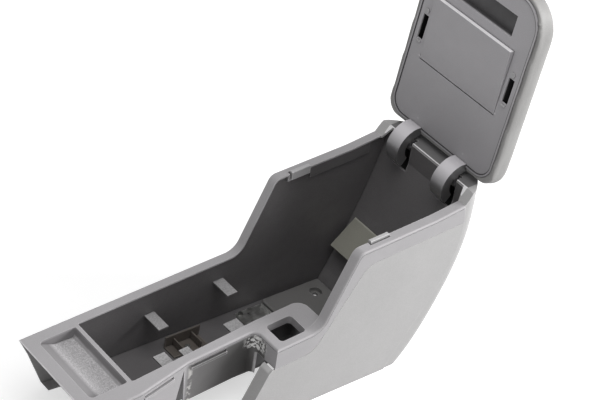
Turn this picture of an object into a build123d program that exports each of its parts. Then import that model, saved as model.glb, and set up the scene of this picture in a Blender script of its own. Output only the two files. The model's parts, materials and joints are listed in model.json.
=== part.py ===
from build123d import *
import os
from math import cos, radians, sin, tan

os.makedirs("parts", exist_ok=True)

# Rear section of a car's center console with its armrest lid standing open.
# Sizes are in millimetres. Drawings are made in rail axes: x runs rearward from the front edge of
# the deck, y to the far side, z up, and z = 0 is the top of the rails. The rails fall towards the
# front by RAKE when the console stands on its lower edges.

# Stance
RAKE = 4.0
FOOT_REAR_X = 532.0
FOOT_REAR_Z = -150.0
FOOT_FRONT_X = 237.0

# Outline of the console
HALF_WIDTH = 103.0
RIM_WIDTH = 15.5
WALL = 2.6
LINER_WALL = 2.4
RAMP_FOOT_X = 368.5
RAMP_TOP_X = 421.5
RIM_Z = 118.5
RIM_LIFT = 4.0
RIM_LIFT_X = 565.0
RAMP_FOOT_RADIUS = 25.0
RAMP_TOP_RADIUS = 14.0
RIM_LIFT_RADIUS = 150.0
EDGE_RADIUS = 3.0
GROOVE_DROP = 3.4
GROOVE = 1.0
REAR_RIM_Z = 138.5
REAR_RIM_X = 633.0
REAR_RIM_RISE_X = 620.0

# Seams between the frame, the side panels and the rear cover
SEAM_GAP = 0.4
SEAM_LOW_Z = -36.0
SEAM_HIGH_Z = 90.0
SEAM_FOOT_X = 360.0
SEAM_TOP_X = 440.0
SEAM_RADIUS = 30.0
SEAM_REAR = [(616, 150), (619, 122), (624.5, 80), (611, 12), (589, -32), (512, -152)]

# Side panels
PANEL_FRONT_X = 286.0
FAR_PANEL_FRONT_X = 16.0
PANEL_FLANGE = 21.0
LOW_CLIPS = [(330, -1), (60, 1), (200, 1)]
HIGH_CLIPS = [(480, -1), (585, -1), (480, 1), (585, 1)]

# Lever recess on the near side
RECESS_X = 291.0
RECESS_Y = -53.0
RECESS_RADIUS = 12.0
RECESS_DEPTH = 76.0
SKIRT_FRONT_X = 12.0
GAP_TOP_X = 165.0
GAP_TOP_Z = -10.0
GAP_WIDTH = 15.0
SLOT_FRONT_X = 90.0
SLOT_FRONT_LENGTH = 55.0
SLOT_REAR_X = 178.0
SLOT_REAR_LENGTH = 62.0
SKIRT_SLOT_Z = -9.0
SKIRT_SLOT_HEIGHT = 4.0
SKIRT_LIP = 1.8
SKIRT_LIP_HEIGHT = 4.5

# Opening of trough and bin
BAR_REAR_X = 86.0
TROUGH_NEAR_FRONT_Y = -45.0
TROUGH_NEAR_REAR_Y = -36.5
SLOPE_TOP = (-52.0, -22.0)
SLOPE_FOOT = (-26.0, -110.0)
SLOPE_REAR_X = 370.0
PLATE_REAR_X = 385.0
PLATE_CORNER_RADIUS = 18.0
FLANGE_DROP = 22.0
BAND_GAP = 0.5
BAND_FRONT_X = 487.0
BAND_REAR_X = 600.0
FRONT_WALL_DROP = 14.0
LINER_GAP = 3.5
LINER_TOP_GAP = 0.4
LINER_PADS = [120, 230]
FAR_TABS = [(205, 17, -45, 36), (327, 18, -37, 36)]
NEAR_TABS = [(150, 19, -20, -5), (188, 16, -20, -13), (273, 24, -20, -3)]

# Tray in the deck
TRAY_FRONT_X = 20.0
TRAY_REAR_X = 82.0
TRAY_NEAR_Y = -43.0
TRAY_SIDE_GAP = 3.5
TRAY_DEPTH = 19.0
TRAY_CORNER_RADIUS = 7.0

# Switch hole
SWITCH_X = 329.0
SWITCH_Y = -72.5
SWITCH_LENGTH = 45.0
SWITCH_WIDTH = 37.0
SWITCH_COLLAR = 12.0

# Bin
FLOOR_REAR_X = 540.0
FLOOR_REAR_Z = -128.0
LINER_TOP_REAR_Z = 101.0
BIN_WALL_BOW = (592.0, -20.0)
PLATE_FRONT_X = 421.0
PLATE_LENGTH = 112.0
FLOOR_PLATE_GAP = 6.0
FLOOR_PLATE_HEIGHT = 8.0
CUP_X = 509.0
CUP_SIDE = 25.0
CUP_RADIUS = 10.0
CUP_HOLE_RADIUS = 4.5
DUCT_DEPTH = 44.0
DUCT_SIDE_GAP = 9.0
DUCT_TOP_Z = -20.0
DUCT_FRONT_Z = -56.0
DUCT_LOW_Z = -74.0
DUCT_EDGE = 5.0
CLIP_SCREW_X = 376.0
CLIP_SCREW_Y = 77.0
CLIP_PLATE = 1.5
CLIP_PLATE_REAR = 42.0
CLIP_PLATE_Y = 48.0
CLIP_PLATE_WIDTH = 35.0
CLIP_PLATE_LIP = 7.0
BRACKET_X = 230.0
BRACKET_Y = 45.0
BRACKET_LENGTH_X = 62.0
BRACKET_WIDTH = 27.0
BRACKET_HEIGHT = 20.0
BRACKET_SHEET = 2.0
BRACKET_RIB = 14.0

# Rear cover
COVER_HEIGHTS = [141.0, 100.0, 45.0, -20.0, -90.0, -156.0]
COVER_CORNER_X = [634.0, 635.0, 631.0, 613.0, 582.0, 535.0]
COVER_BOW = [57.0, 58.0, 58.0, 56.0, 50.0, 40.0]
COVER_SIDE_STEP = 1.5
COVER_CORNER_RADIUS = 30.0
COVER_FRONT_X = 480.0
RIM_CORNER = 8.5

# Rim blocks
BLOCK_FRONT_X = 449.0
BLOCK_LENGTH = 34.0
BLOCK_SET = 1.0
BLOCK_WIDTH = 6.0
BLOCK_PROUD = 3.5
BLOCK_DEPTH = 10.0
BLOCK_CLEARANCE = 0.3
BLOCK_NOTCH = 2.5

# Hinge
PIN_X = 642.0
PIN_Z = 126.0
PIN_RADIUS = 3.0
PIN_CLEARANCE = 0.05
PIN_HALF_LENGTH = 70.0
ARM_Y = 49.5
ARM_WIDTH = 25.0
ARM_OUTER_RADIUS = 35.0
ARM_THICKNESS = 16.0
ARM_HUB_RADIUS = 8.0
ARM_WEB = 8.0
ARM_WEB_ANGLE = 120.0
ARM_END_ANGLE = 230.0
SLOT_SIDE_CLEARANCE = 2.0
SLOT_LOW_Z = 87.0
CHEEK_GAP = 0.5
CHEEK = 2.5
BRACKET_BASE_Z = 80.0
SHELF_LENGTH = 30.0
BRACKET_FRONT_X = 636.5
BRACKET_LENGTH = 24.0
HINGE_SCREW_X = 654.0
ARM_NOTCH_REAR_X = 645.5

# Lid, drawn up from where its underside meets the arms, and towards its padded back
LID_FOOT_X = 648.0
LID_FOOT_Z = 162.0
LID_OPEN_TILT = 8.0
LID_LOW_U = -14.0
LID_HIGH_U = 288.0
LID_OVERHANG = 11.0
LID_THICKNESS = 45.0
LID_LOW_CORNER = 34.0
LID_HIGH_CORNER = 52.0
PAD_ROLL = 16.0
SHELL_INSET = 7.0
SHELL_RIM = 3.0
SHELL_DEPTH = 30.0
SHELL_BACK = 2.5
PANEL_GAP = 0.5
PANEL_THICKNESS = 2.8
PANEL_RECESS = 1.2
SOFT_GAP = 0.3
POCKET_LOW_U = 215.0
POCKET_HIGH_U = 249.0
POCKET_SIDE = 48.0
POCKET_DEPTH = 12.0
SLOT_LOW_U = 121.0
SLOT_HIGH_U = 161.0
SIDE_SLOT_SIDE = 23.5
SIDE_SLOT_WIDTH = 11.0
BUMPER_RADIUS = 4.0
BUMPER_PROUD = 1.8
BUMPER_SIDE = 23.5
LID_BOSSES = [(36, 42), (262, 62)]
ARM_SCREW_U = 8.0
ARM_TOP_U = -2.0
ARM_FOOT = 4.5
ARM_FOOT_U = 14.0
ARM_BITE = 1.8
PAD_FRONT_ROLL = 3.0

# Compartment door
DOOR_LOW_U = 94.0
DOOR_HIGH_U = 200.0
DOOR_SIDE = 35.0
DOOR_WALL = 2.2
DOOR_PROUD = 8.0
DOOR_LOW_PROUD = 0.6
DOOR_BACK = 2.4
DOOR_GAP = 0.6
DOOR_EDGE = 0.8
TUB_DEPTH = 22.0
DOOR_PIN_RADIUS = 1.5
DOOR_BARREL = 3.2
DOOR_EAR = 3.4
TUB_WALL = 1.6

# Fasteners
SCREW_RADIUS = 2.0
SCREW_HEAD_RADIUS = 4.0
SCREW_HEAD = 2.4
CLIP_LENGTH = 14.0
CLIP_HEIGHT = 12.0
CLIP_METAL = 0.8


# Reach of the cutting blocks, well past the model on every side
BRIDGE_X = 760.0
SPAN = 400.0

# Where the rail axes stand on the ground: the lower edges lie on z = 0, and the origin is under
# the middle of the whole length, from the deck's front edge to the back of the open lid.
rake_cos = cos(radians(RAKE))
rake_sin = sin(radians(RAKE))
lid_lean = LID_OPEN_TILT - RAKE
lean_cos = cos(radians(lid_lean))
lean_sin = sin(radians(lid_lean))
lid_reach = LID_FOOT_X * rake_cos - LID_FOOT_Z * rake_sin
lid_reach += (LID_HIGH_U - PAD_ROLL) * lean_sin + (LID_THICKNESS - PAD_ROLL) * lean_cos + PAD_ROLL
RAIL_SHIFT = -lid_reach / 2
RAIL_HEIGHT = -(FOOT_REAR_X * rake_sin + FOOT_REAR_Z * rake_cos)


def ground_z(x):
    """Height of the ground in rail axes."""
    return FOOT_REAR_Z + (FOOT_REAR_X - x) * tan(radians(RAKE))


def floor_z(x):
    """Height of the bin floor's upper face in rail axes: it is level when the console stands."""
    return FLOOR_REAR_Z + (FLOOR_REAR_X - x) * tan(radians(RAKE))


def standing(x, y, z):
    """A point of the rail axes where it stands on the ground."""
    return (RAIL_SHIFT + x * rake_cos - z * rake_sin, y, RAIL_HEIGHT + x * rake_sin + z * rake_cos)


STANDING = (Align.CENTER, Align.CENTER, Align.MIN)
RAILS = Plane(origin=standing(0, 0, 0), x_dir=(rake_cos, 0, rake_sin), z_dir=(-rake_sin, 0, rake_cos))
SIDE = Plane(origin=standing(0, 0, 0), x_dir=(rake_cos, 0, rake_sin), z_dir=(0, -1, 0))
FAR_SIDE = SIDE.offset(-SPAN / 2)
UNDERNEATH = RAILS.offset(-SPAN / 2)
CROSSWISE = Plane(origin=standing(0, 0, 0), x_dir=(0, 1, 0), z_dir=(rake_cos, 0, rake_sin))
LEVEL_FLOOR = Plane(origin=standing(FLOOR_REAR_X, 0, FLOOR_REAR_Z))
LID = Plane(
    origin=standing(LID_FOOT_X, 0, LID_FOOT_Z),
    x_dir=(lean_sin, 0, lean_cos),
    z_dir=(lean_cos, 0, -lean_sin),
)
LID_SIDE = Plane(origin=LID.origin, x_dir=LID.x_dir, z_dir=(0, 1, 0))

# Sizes that follow from the driving ones
open_half = HALF_WIDTH - RIM_WIDTH
rim_rear_z = RIM_Z + RIM_LIFT
tray_far_y = open_half - TRAY_SIDE_GAP
floor_plate_half = open_half + LINER_GAP - FLOOR_PLATE_GAP
cup_y = floor_plate_half - CUP_SIDE
duct_top_x = BIN_WALL_BOW[0] - 1
duct_front_x = duct_top_x - DUCT_DEPTH
duct_half = open_half + LINER_GAP - DUCT_SIDE_GAP
cover_half = HALF_WIDTH - COVER_SIDE_STEP
rim_inner_half = open_half - RIM_CORNER
block_y = open_half + BLOCK_SET
lid_half = HALF_WIDTH + LID_OVERHANG
liner_grow = LINER_GAP + LINER_WALL
arm_inner_radius = ARM_OUTER_RADIUS - ARM_THICKNESS
arm_slot_half = ARM_WIDTH / 2 + SLOT_SIDE_CLEARANCE
rear_raise = REAR_RIM_Z - rim_rear_z


def rim_points():
    """The upper edge of the frame seen from the side."""
    return [
        (0, 0),
        (RAMP_FOOT_X, 0),
        (RAMP_TOP_X, RIM_Z),
        (RIM_LIFT_X, RIM_Z),
        (REAR_RIM_RISE_X, rim_rear_z),
        (BRIDGE_X, rim_rear_z),
    ]


def under_rim(inset, floor, front, raised=0.0):
    """Side view of everything below the rim line, drawn in by inset, down to floor."""
    with BuildSketch(FAR_SIDE) as region:
        with BuildLine():
            points = [(front, 0)] + rim_points()[1:]
            radii = [RAMP_FOOT_RADIUS, RAMP_TOP_RADIUS, RIM_LIFT_RADIUS, 0]
            if raised:
                points[-1:] = [(REAR_RIM_X, rim_rear_z + raised), (BRIDGE_X, rim_rear_z + raised)]
                radii += [0]
            top = FilletPolyline(*points, radius=radii)
            Polyline(top @ 1, (BRIDGE_X, floor), (front, floor), top @ 0)
        make_face()
        offset(amount=-inset)
    return region.sketch


def behind_seam(shift):
    """Side view of everything behind the seam of the rear cover."""
    with BuildSketch(FAR_SIDE) as region:
        with BuildLine():
            seam = Spline(*[(x + shift, z) for x, z in SEAM_REAR])
            Polyline(seam @ 1, (SEAM_REAR[-1][0] + shift, -180), (BRIDGE_X, -180), (BRIDGE_X, 150), seam @ 0)
        make_face()
    return region.sketch


def plan_outline(inset):
    """The frame seen from above, with the lever recess in its near side."""
    with BuildSketch(UNDERNEATH) as outline:
        with BuildLine():
            FilletPolyline(
                (0, HALF_WIDTH),
                (BRIDGE_X, HALF_WIDTH),
                (BRIDGE_X, -HALF_WIDTH),
                (RECESS_X, -HALF_WIDTH),
                (RECESS_X, RECESS_Y),
                (175, RECESS_Y - 2),
                (84, RECESS_Y - 18),
                (0, RECESS_Y - 20),
                radius=[0, 0, 0, 0, RECESS_RADIUS, 60, 60, 0],
                close=True,
            )
        make_face()
        if inset:
            offset(amount=-inset, kind=Kind.INTERSECTION)
    return outline.sketch


def opening_outline(grow):
    """The opening of trough and bin seen from above, grown by grow."""
    with BuildSketch(UNDERNEATH) as outline:
        with BuildLine():
            FilletPolyline(
                (BAR_REAR_X, open_half),
                (BRIDGE_X, open_half),
                (BRIDGE_X, -open_half),
                (PLATE_REAR_X, -open_half),
                (PLATE_REAR_X, TROUGH_NEAR_REAR_Y),
                (300, TROUGH_NEAR_REAR_Y),
                (BAR_REAR_X, TROUGH_NEAR_FRONT_Y),
                radius=[3, 0, 0, 3, PLATE_CORNER_RADIUS, 40, 3],
                close=True,
            )
        make_face()
        if grow:
            offset(amount=grow, kind=Kind.INTERSECTION)
    return outline.sketch


def seam_band():
    """Side view of the frame's outer skirt, from the rim line down to the seam."""
    with BuildSketch(FAR_SIDE) as region:
        with BuildLine():
            radii = [RAMP_FOOT_RADIUS, RAMP_TOP_RADIUS, RIM_LIFT_RADIUS, 0]
            rim = FilletPolyline(*rim_points(), radius=radii)
            seam = FilletPolyline(
                (BRIDGE_X, SEAM_HIGH_Z),
                (SEAM_TOP_X, SEAM_HIGH_Z),
                (SEAM_FOOT_X, SEAM_LOW_Z),
                (FAR_PANEL_FRONT_X, SEAM_LOW_Z),
                radius=[SEAM_RADIUS, SEAM_RADIUS],
            )
            Line(rim @ 1, seam @ 0)
            Line(seam @ 1, rim @ 0)
        make_face()
    return region.sketch


def tray_block(grow):
    """The tray's hollow, grown by grow for its walls."""
    with BuildPart() as block:
        with BuildSketch(UNDERNEATH):
            with Locations(((TRAY_FRONT_X + TRAY_REAR_X) / 2, (TRAY_NEAR_Y + tray_far_y) / 2)):
                RectangleRounded(
                    TRAY_REAR_X - TRAY_FRONT_X + 2 * grow,
                    tray_far_y - TRAY_NEAR_Y + 2 * grow,
                    TRAY_CORNER_RADIUS + grow,
                )
        extrude(amount=SPAN)
        with BuildSketch(FAR_SIDE):
            with BuildLine():
                top = -WALL / 2 if grow else 20
                FilletPolyline(
                    (TRAY_FRONT_X - grow, top),
                    (TRAY_FRONT_X - grow, -3 - grow),
                    (TRAY_FRONT_X + 26, 3 - TRAY_DEPTH - grow),
                    (TRAY_REAR_X - 4, -TRAY_DEPTH - grow),
                    (TRAY_REAR_X + grow, top),
                    radius=[0, 0, 14, 5, 0],
                    close=True,
                )
            make_face()
        extrude(amount=SPAN, mode=Mode.INTERSECT)
    return block.part


def on_rails(x, y, z, turn=(0, 0, 0)):
    """A place in rail axes."""
    return RAILS.location * Location((x, y, z), turn)


def on_floor(x, y, z=0.0):
    """A place on the level bin floor, with x counted in rail axes."""
    return LEVEL_FLOOR.location * Location((x - FLOOR_REAR_X, y, z))


def on_lid(u, y, w, turn=(0, 0, 0)):
    """A place on the lid: up from its foot, to the far side, towards its padded back."""
    return LID.location * Location((u, -y, w), turn)


def block(place, low, high, mode=Mode.ADD):
    """A box between two corners, in the axes that place works in."""
    middle = [(a + b) / 2 for a, b in zip(low, high)]
    with Locations(place(*middle)):
        Box(*[b - a for a, b in zip(low, high)], mode=mode)


def cross_rod(place, a, b, half, radius, mode=Mode.ADD, middle_y=0.0):
    """A round bar that lies across the console."""
    x, z = a, b
    with Locations(place(x, middle_y, z) * Location((0, 0, 0), (90, 0, 0))):
        Cylinder(radius, 2 * half, mode=mode)


def side_sheet(points, far_y, radius=0):
    """A side view drawn in rail axes on the plane y = far_y."""
    with BuildSketch(SIDE.offset(-far_y)) as region:
        with BuildLine():
            if radius:
                FilletPolyline(*points, radius=radius, close=True)
            else:
                Polyline(*points, close=True)
        make_face()
    return region.sketch


def lid_sheet(points, near_y):
    """A side view of the lid on the plane y = near_y, drawn up the lid and towards its padded back."""
    with BuildSketch(LID_SIDE.offset(near_y)) as region:
        with BuildLine():
            Polyline(*points, close=True)
        make_face()
    return region.sketch


def lid_outline(inset, w):
    """The lid seen on its underside, drawn in by inset."""
    with BuildSketch(LID.offset(w)) as outline:
        with BuildLine():
            low = LID_LOW_U + inset
            high = LID_HIGH_U - inset
            half = lid_half - inset
            FilletPolyline(
                (low, half),
                (high, half),
                (high, -half),
                (low, -half),
                radius=[
                    LID_LOW_CORNER - inset,
                    LID_HIGH_CORNER - inset,
                    LID_HIGH_CORNER - inset,
                    LID_LOW_CORNER - inset,
                ],
                close=True,
            )
        make_face()
    return outline.sketch


def upper_edges(piece, side_half):
    """The long outer edges of a piece's upward faces, at its sides and round the lever recess."""
    found = []
    for face in piece.faces():
        if face.normal_at().dot(RAILS.z_dir) < 0.3:
            continue
        for edge in face.edges():
            middle = RAILS.to_local_coords(edge @ 0.5)
            at_side = abs(abs(middle.Y) - side_half) < 0.5
            at_recess = middle.Z < 1 and middle.Y < RECESS_Y + 4 and middle.X > WALL + 1
            if (at_side or at_recess) and middle.X < BRIDGE_X - WALL - 1:
                found.append(edge)
    return found


def bin_rear(shift):
    """Side view of everything behind the bin's rear wall, moved back by shift."""
    with BuildSketch(FAR_SIDE) as region:
        with BuildLine():
            low = (FLOOR_REAR_X + shift, FLOOR_REAR_Z)
            bow = (BIN_WALL_BOW[0] + shift, BIN_WALL_BOW[1])
            high = (REAR_RIM_X + shift, LINER_TOP_REAR_Z)
            wall = ThreePointArc(low, bow, high)
            Polyline(high, (high[0] + 1, 160), (BRIDGE_X, 160), (BRIDGE_X, -180), (low[0] - 20, -180), low)
        make_face()
    return region.sketch


def liner_room(inset, thickness):
    """Side view of the liner's inside, or of its outside when thickness is given."""
    front = BAR_REAR_X + LINER_GAP - thickness
    with BuildSketch(FAR_SIDE) as region:
        with BuildLine():
            Polyline(
                (front, 160),
                (BRIDGE_X, 160),
                (BRIDGE_X, floor_z(BRIDGE_X) - thickness),
                (front, floor_z(front) - thickness),
                close=True,
            )
        make_face()
    return region.sketch


def near_wall_y(x):
    """Inner face of the trough's near wall at x."""
    slant = (TROUGH_NEAR_REAR_Y - TROUGH_NEAR_FRONT_Y) / (300 - BAR_REAR_X)
    return TROUGH_NEAR_REAR_Y - LINER_GAP - (300 - x) * slant


def near_slope(shift, rear_x):
    """The room outside the trough's slanting near wall, up to rear_x."""
    with BuildSketch(CROSSWISE) as region:
        with BuildLine():
            top_y, top_z = SLOPE_TOP
            foot_y, foot_z = SLOPE_FOOT
            Polyline(
                (-SPAN / 2, top_z),
                (top_y + shift, top_z),
                (foot_y + shift, foot_z),
                (foot_y + shift, -SPAN / 2),
                (-SPAN / 2, -SPAN / 2),
                close=True,
            )
        make_face()
    extrude(region.sketch, amount=rear_x)


# The hollow under the frame's skin
with BuildPart() as frame_core:
    extrude(plan_outline(WALL), amount=SPAN)
    extrude(under_rim(WALL, -150, -60), amount=SPAN, mode=Mode.INTERSECT)
    fillet(upper_edges(frame_core, HALF_WIDTH - WALL), EDGE_RADIUS - WALL)

# The deeper skirt beside the hand lever
with BuildPart() as lever_skirt:
    extrude(plan_outline(0), amount=SPAN)
    extrude(plan_outline(WALL), amount=SPAN, mode=Mode.SUBTRACT)
    block(
        on_rails,
        (SKIRT_FRONT_X, -HALF_WIDTH + 11, -RECESS_DEPTH),
        (RECESS_X - SEAM_GAP, RECESS_Y + 6, SEAM_LOW_Z + WALL),
        Mode.INTERSECT,
    )

# Top frame: rails, deck, ramps and rims in one moulding
with BuildPart() as top_frame:
    extrude(plan_outline(0), amount=SPAN)
    extrude(seam_band(), amount=SPAN, mode=Mode.INTERSECT)
    fillet(upper_edges(top_frame, HALF_WIDTH), EDGE_RADIUS)
    add(frame_core.part, mode=Mode.SUBTRACT)
    plate_front = RAMP_FOOT_X - RAMP_FOOT_RADIUS
    block(on_rails, (plate_front, -open_half, 0), (BRIDGE_X, open_half, SPAN / 2), Mode.SUBTRACT)
    block(on_rails, (plate_front, -open_half - WALL, -WALL), (PLATE_REAR_X, TROUGH_NEAR_REAR_Y, 0))
    extrude(opening_outline(0), amount=SPAN, mode=Mode.SUBTRACT)
    add(lever_skirt.part)
    # Crease below the upper edge
    with BuildPart(mode=Mode.PRIVATE) as crease:
        extrude(plan_outline(-1), amount=SPAN)
        extrude(plan_outline(GROOVE), amount=SPAN, mode=Mode.SUBTRACT)
        extrude(under_rim(GROOVE_DROP, -150, -60), amount=SPAN, mode=Mode.INTERSECT)
        extrude(under_rim(GROOVE_DROP + GROOVE, -150, -60), amount=SPAN, mode=Mode.SUBTRACT)
    add(crease.part, mode=Mode.SUBTRACT)
    # Tray
    add(tray_block(LINER_WALL))
    add(tray_block(0), mode=Mode.SUBTRACT)
    # Switch hole with its collar
    with Locations(on_rails(SWITCH_X, SWITCH_Y, -WALL / 2 - SWITCH_COLLAR / 2)):
        Box(SWITCH_LENGTH + 2 * WALL, SWITCH_WIDTH + 2 * WALL, SWITCH_COLLAR)
    with BuildSketch(RAILS.offset(10)) as switch_room:
        with Locations((SWITCH_X, SWITCH_Y)):
            RectangleRounded(SWITCH_LENGTH, SWITCH_WIDTH, 6)
    extrude(switch_room.sketch, amount=-40, mode=Mode.SUBTRACT)
    # Gap between the front skirt and the recess wall, and the two slots
    gap_points = [
        (GAP_TOP_X, GAP_TOP_Z),
        (GAP_TOP_X + GAP_WIDTH / 3, -RECESS_DEPTH - 1),
        (GAP_TOP_X - GAP_WIDTH, -RECESS_DEPTH - 1),
    ]
    extrude(side_sheet(gap_points, RECESS_Y + 8), amount=40, mode=Mode.SUBTRACT)
    for slot_front, slot_length in ((SLOT_FRONT_X, SLOT_FRONT_LENGTH), (SLOT_REAR_X, SLOT_REAR_LENGTH)):
        block(
            on_rails,
            (slot_front, RECESS_Y - 24, SKIRT_SLOT_Z - SKIRT_SLOT_HEIGHT),
            (slot_front + slot_length, RECESS_Y + 3, SKIRT_SLOT_Z),
            Mode.SUBTRACT,
        )
    # Lips under the slots
    with BuildPart(mode=Mode.PRIVATE) as slot_lips:
        for slot_front, slot_length in ((SLOT_FRONT_X, SLOT_FRONT_LENGTH), (SLOT_REAR_X, SLOT_REAR_LENGTH)):
            lip_top = SKIRT_SLOT_Z - SKIRT_SLOT_HEIGHT
            lip_low = lip_top - SKIRT_LIP_HEIGHT
            block(on_rails, (slot_front, RECESS_Y - 28, lip_low), (slot_front + slot_length, RECESS_Y + 6, lip_top))
        extrude(plan_outline(-SKIRT_LIP), amount=SPAN, mode=Mode.INTERSECT)
        extrude(plan_outline(WALL / 2), amount=SPAN, mode=Mode.SUBTRACT)
    add(slot_lips.part)
    # Seats for the rim blocks
    block_rear_x = BLOCK_FRONT_X + BLOCK_LENGTH
    seat_low = RIM_Z - BLOCK_DEPTH
    seat_inner = block_y - BLOCK_WIDTH / 2 - BLOCK_CLEARANCE
    seat_outer = block_y + BLOCK_WIDTH / 2 + BLOCK_NOTCH
    for low_y, high_y in ((open_half, seat_outer + WALL), (-seat_outer - WALL, -open_half)):
        block(
            on_rails,
            (BLOCK_FRONT_X - BLOCK_NOTCH - LINER_WALL, low_y, seat_low - LINER_WALL),
            (block_rear_x + LINER_WALL, high_y, RIM_Z - 1),
        )
    for low_y, high_y in ((seat_inner, seat_outer), (-seat_outer, -seat_inner)):
        block(
            on_rails,
            (BLOCK_FRONT_X - BLOCK_NOTCH, low_y, seat_low),
            (block_rear_x + BLOCK_CLEARANCE, high_y, RIM_Z + 1),
            Mode.SUBTRACT,
        )
    extrude(behind_seam(-SEAM_GAP / 2), amount=SPAN, mode=Mode.SUBTRACT)

# Bin liner: trough and bin in one dark tub
with BuildPart() as bin_liner:
    extrude(opening_outline(liner_grow), amount=SPAN)
    extrude(liner_room(0, LINER_WALL), amount=SPAN, mode=Mode.INTERSECT)
    liner_top = WALL + LINER_TOP_GAP
    extrude(under_rim(liner_top, -200, -60, rear_raise), amount=SPAN, mode=Mode.INTERSECT)
    extrude(bin_rear(LINER_WALL), amount=SPAN, mode=Mode.SUBTRACT)
    with BuildPart(mode=Mode.PRIVATE) as liner_core:
        extrude(opening_outline(LINER_GAP), amount=SPAN)
        extrude(liner_room(0, 0), amount=SPAN, mode=Mode.INTERSECT)
        extrude(bin_rear(0), amount=SPAN, mode=Mode.SUBTRACT)
    # Thick band under the rims
    with BuildPart(mode=Mode.PRIVATE) as rim_band:
        block(on_rails, (BAND_FRONT_X, -SPAN / 2, 6), (BAND_REAR_X, SPAN / 2, SPAN / 2))
        block(on_rails, (0, -open_half - BAND_GAP, -60), (BRIDGE_X, open_half + BAND_GAP, SPAN), Mode.SUBTRACT)
        extrude(under_rim(FLANGE_DROP, -160, -70), amount=SPAN, mode=Mode.SUBTRACT)
    # The trough's near wall slants inwards below the rail
    with BuildPart(mode=Mode.PRIVATE) as slope_room:
        near_slope(0, SLOPE_REAR_X)
    with BuildPart(mode=Mode.PRIVATE) as slope_wall:
        near_slope(LINER_WALL, SLOPE_REAR_X + LINER_WALL)
    liner_core.part = liner_core.part - rim_band.part - slope_wall.part
    add(liner_core.part, mode=Mode.SUBTRACT)
    add(slope_room.part, mode=Mode.SUBTRACT)
    core_half = open_half + LINER_GAP
    # Lower front wall, and room for the switch plate's rear edge
    front_top = -FRONT_WALL_DROP
    block(on_rails, (80, -50, front_top), (BAR_REAR_X + 6, core_half, 0), Mode.SUBTRACT)
    block(
        on_rails,
        (plate_front, -core_half + 0.4, -WALL - LINER_TOP_GAP),
        (PLATE_REAR_X + 2, TROUGH_NEAR_REAR_Y - 1, 60),
        Mode.SUBTRACT,
    )
    # Room for the rim blocks' seats
    for low_y, high_y in ((open_half - 1, core_half + 9), (-core_half - 9, -open_half + 1)):
        block(
            on_rails,
            (BLOCK_FRONT_X - BLOCK_NOTCH - LINER_WALL - 1, low_y, seat_low - LINER_WALL - 1),
            (block_rear_x + LINER_WALL + 1, high_y, 130),
            Mode.SUBTRACT,
        )
    # Pads that meet the underside of the rails
    for front in LINER_PADS:
        pad_low = -WALL - 4
        block(on_rails, (front, core_half, pad_low), (front + 24, core_half + LINER_WALL, -WALL))
        near_y = near_wall_y(front + 12) - 0.4
        block(on_rails, (front, near_y - LINER_WALL, pad_low), (front + 24, near_y, -WALL))
    # Slots for the arms
    for side in (1, -1):
        low_y, high_y = sorted((side * (ARM_Y - arm_slot_half), side * (ARM_Y + arm_slot_half)))
        block(on_rails, (600, low_y, SLOT_LOW_Z), (650, high_y, 150), Mode.SUBTRACT)
    # Shelf for the hinge brackets
    block(
        on_rails,
        (628, -ARM_Y - 20, BRACKET_BASE_Z - LINER_WALL),
        (628 + SHELF_LENGTH + 6, ARM_Y + 20, BRACKET_BASE_Z),
    )
    # Tabs on the walls
    for front, length, height, reach in FAR_TABS:
        block(on_rails, (front, core_half - reach, height - LINER_WALL), (front + length, core_half + 1, height))
    for front, length, height, reach in NEAR_TABS:
        wall_y = near_wall_y(front + length / 2) - 1
        block(on_rails, (front, wall_y, height - LINER_WALL), (front + length, reach, height))
    # Holes under the floor cups
    for side in (1, -1):
        with Locations(on_floor(CUP_X, side * cup_y, -LINER_WALL)):
            Cylinder(CUP_HOLE_RADIUS, 4 * LINER_WALL, mode=Mode.SUBTRACT)


def panel_face(front_points, shift=0.0):
    """Side view of a side panel: under the seam, down to the ground."""
    with BuildSketch(FAR_SIDE) as region:
        with BuildLine():
            seam = FilletPolyline(
                (front_points[0][0], SEAM_LOW_Z - SEAM_GAP),
                (SEAM_FOOT_X + SEAM_GAP, SEAM_LOW_Z - SEAM_GAP),
                (SEAM_TOP_X + SEAM_GAP, SEAM_HIGH_Z - SEAM_GAP),
                (BRIDGE_X, SEAM_HIGH_Z - SEAM_GAP),
                radius=[SEAM_RADIUS, SEAM_RADIUS],
            )
            Polyline(seam @ 1, (BRIDGE_X, ground_z(BRIDGE_X)), *front_points[:0:-1], seam @ 0)
        make_face()
        if shift:
            offset(amount=-shift)
    return region.sketch


def front_flange(points, low_y, high_y):
    """A flange that follows a side panel's front edge."""
    back = [(x + WALL, z) for x, z in points]
    extrude(side_sheet(points + back[::-1], high_y), amount=high_y - low_y)


near_front = [
    (PANEL_FRONT_X, SEAM_LOW_Z - SEAM_GAP),
    (PANEL_FRONT_X - 5, SEAM_LOW_Z - 5),
    (FOOT_FRONT_X, ground_z(FOOT_FRONT_X)),
]
far_front = [
    (FAR_PANEL_FRONT_X, SEAM_LOW_Z - SEAM_GAP),
    (FAR_PANEL_FRONT_X + 23.5, SEAM_LOW_Z - 65),
    (FOOT_FRONT_X, ground_z(FOOT_FRONT_X)),
]
foot_points = [
    (FOOT_FRONT_X, ground_z(FOOT_FRONT_X)),
    (FOOT_REAR_X, ground_z(FOOT_REAR_X)),
    (FOOT_REAR_X, ground_z(FOOT_REAR_X) + WALL),
    (FOOT_FRONT_X, ground_z(FOOT_FRONT_X) + WALL),
]

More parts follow.
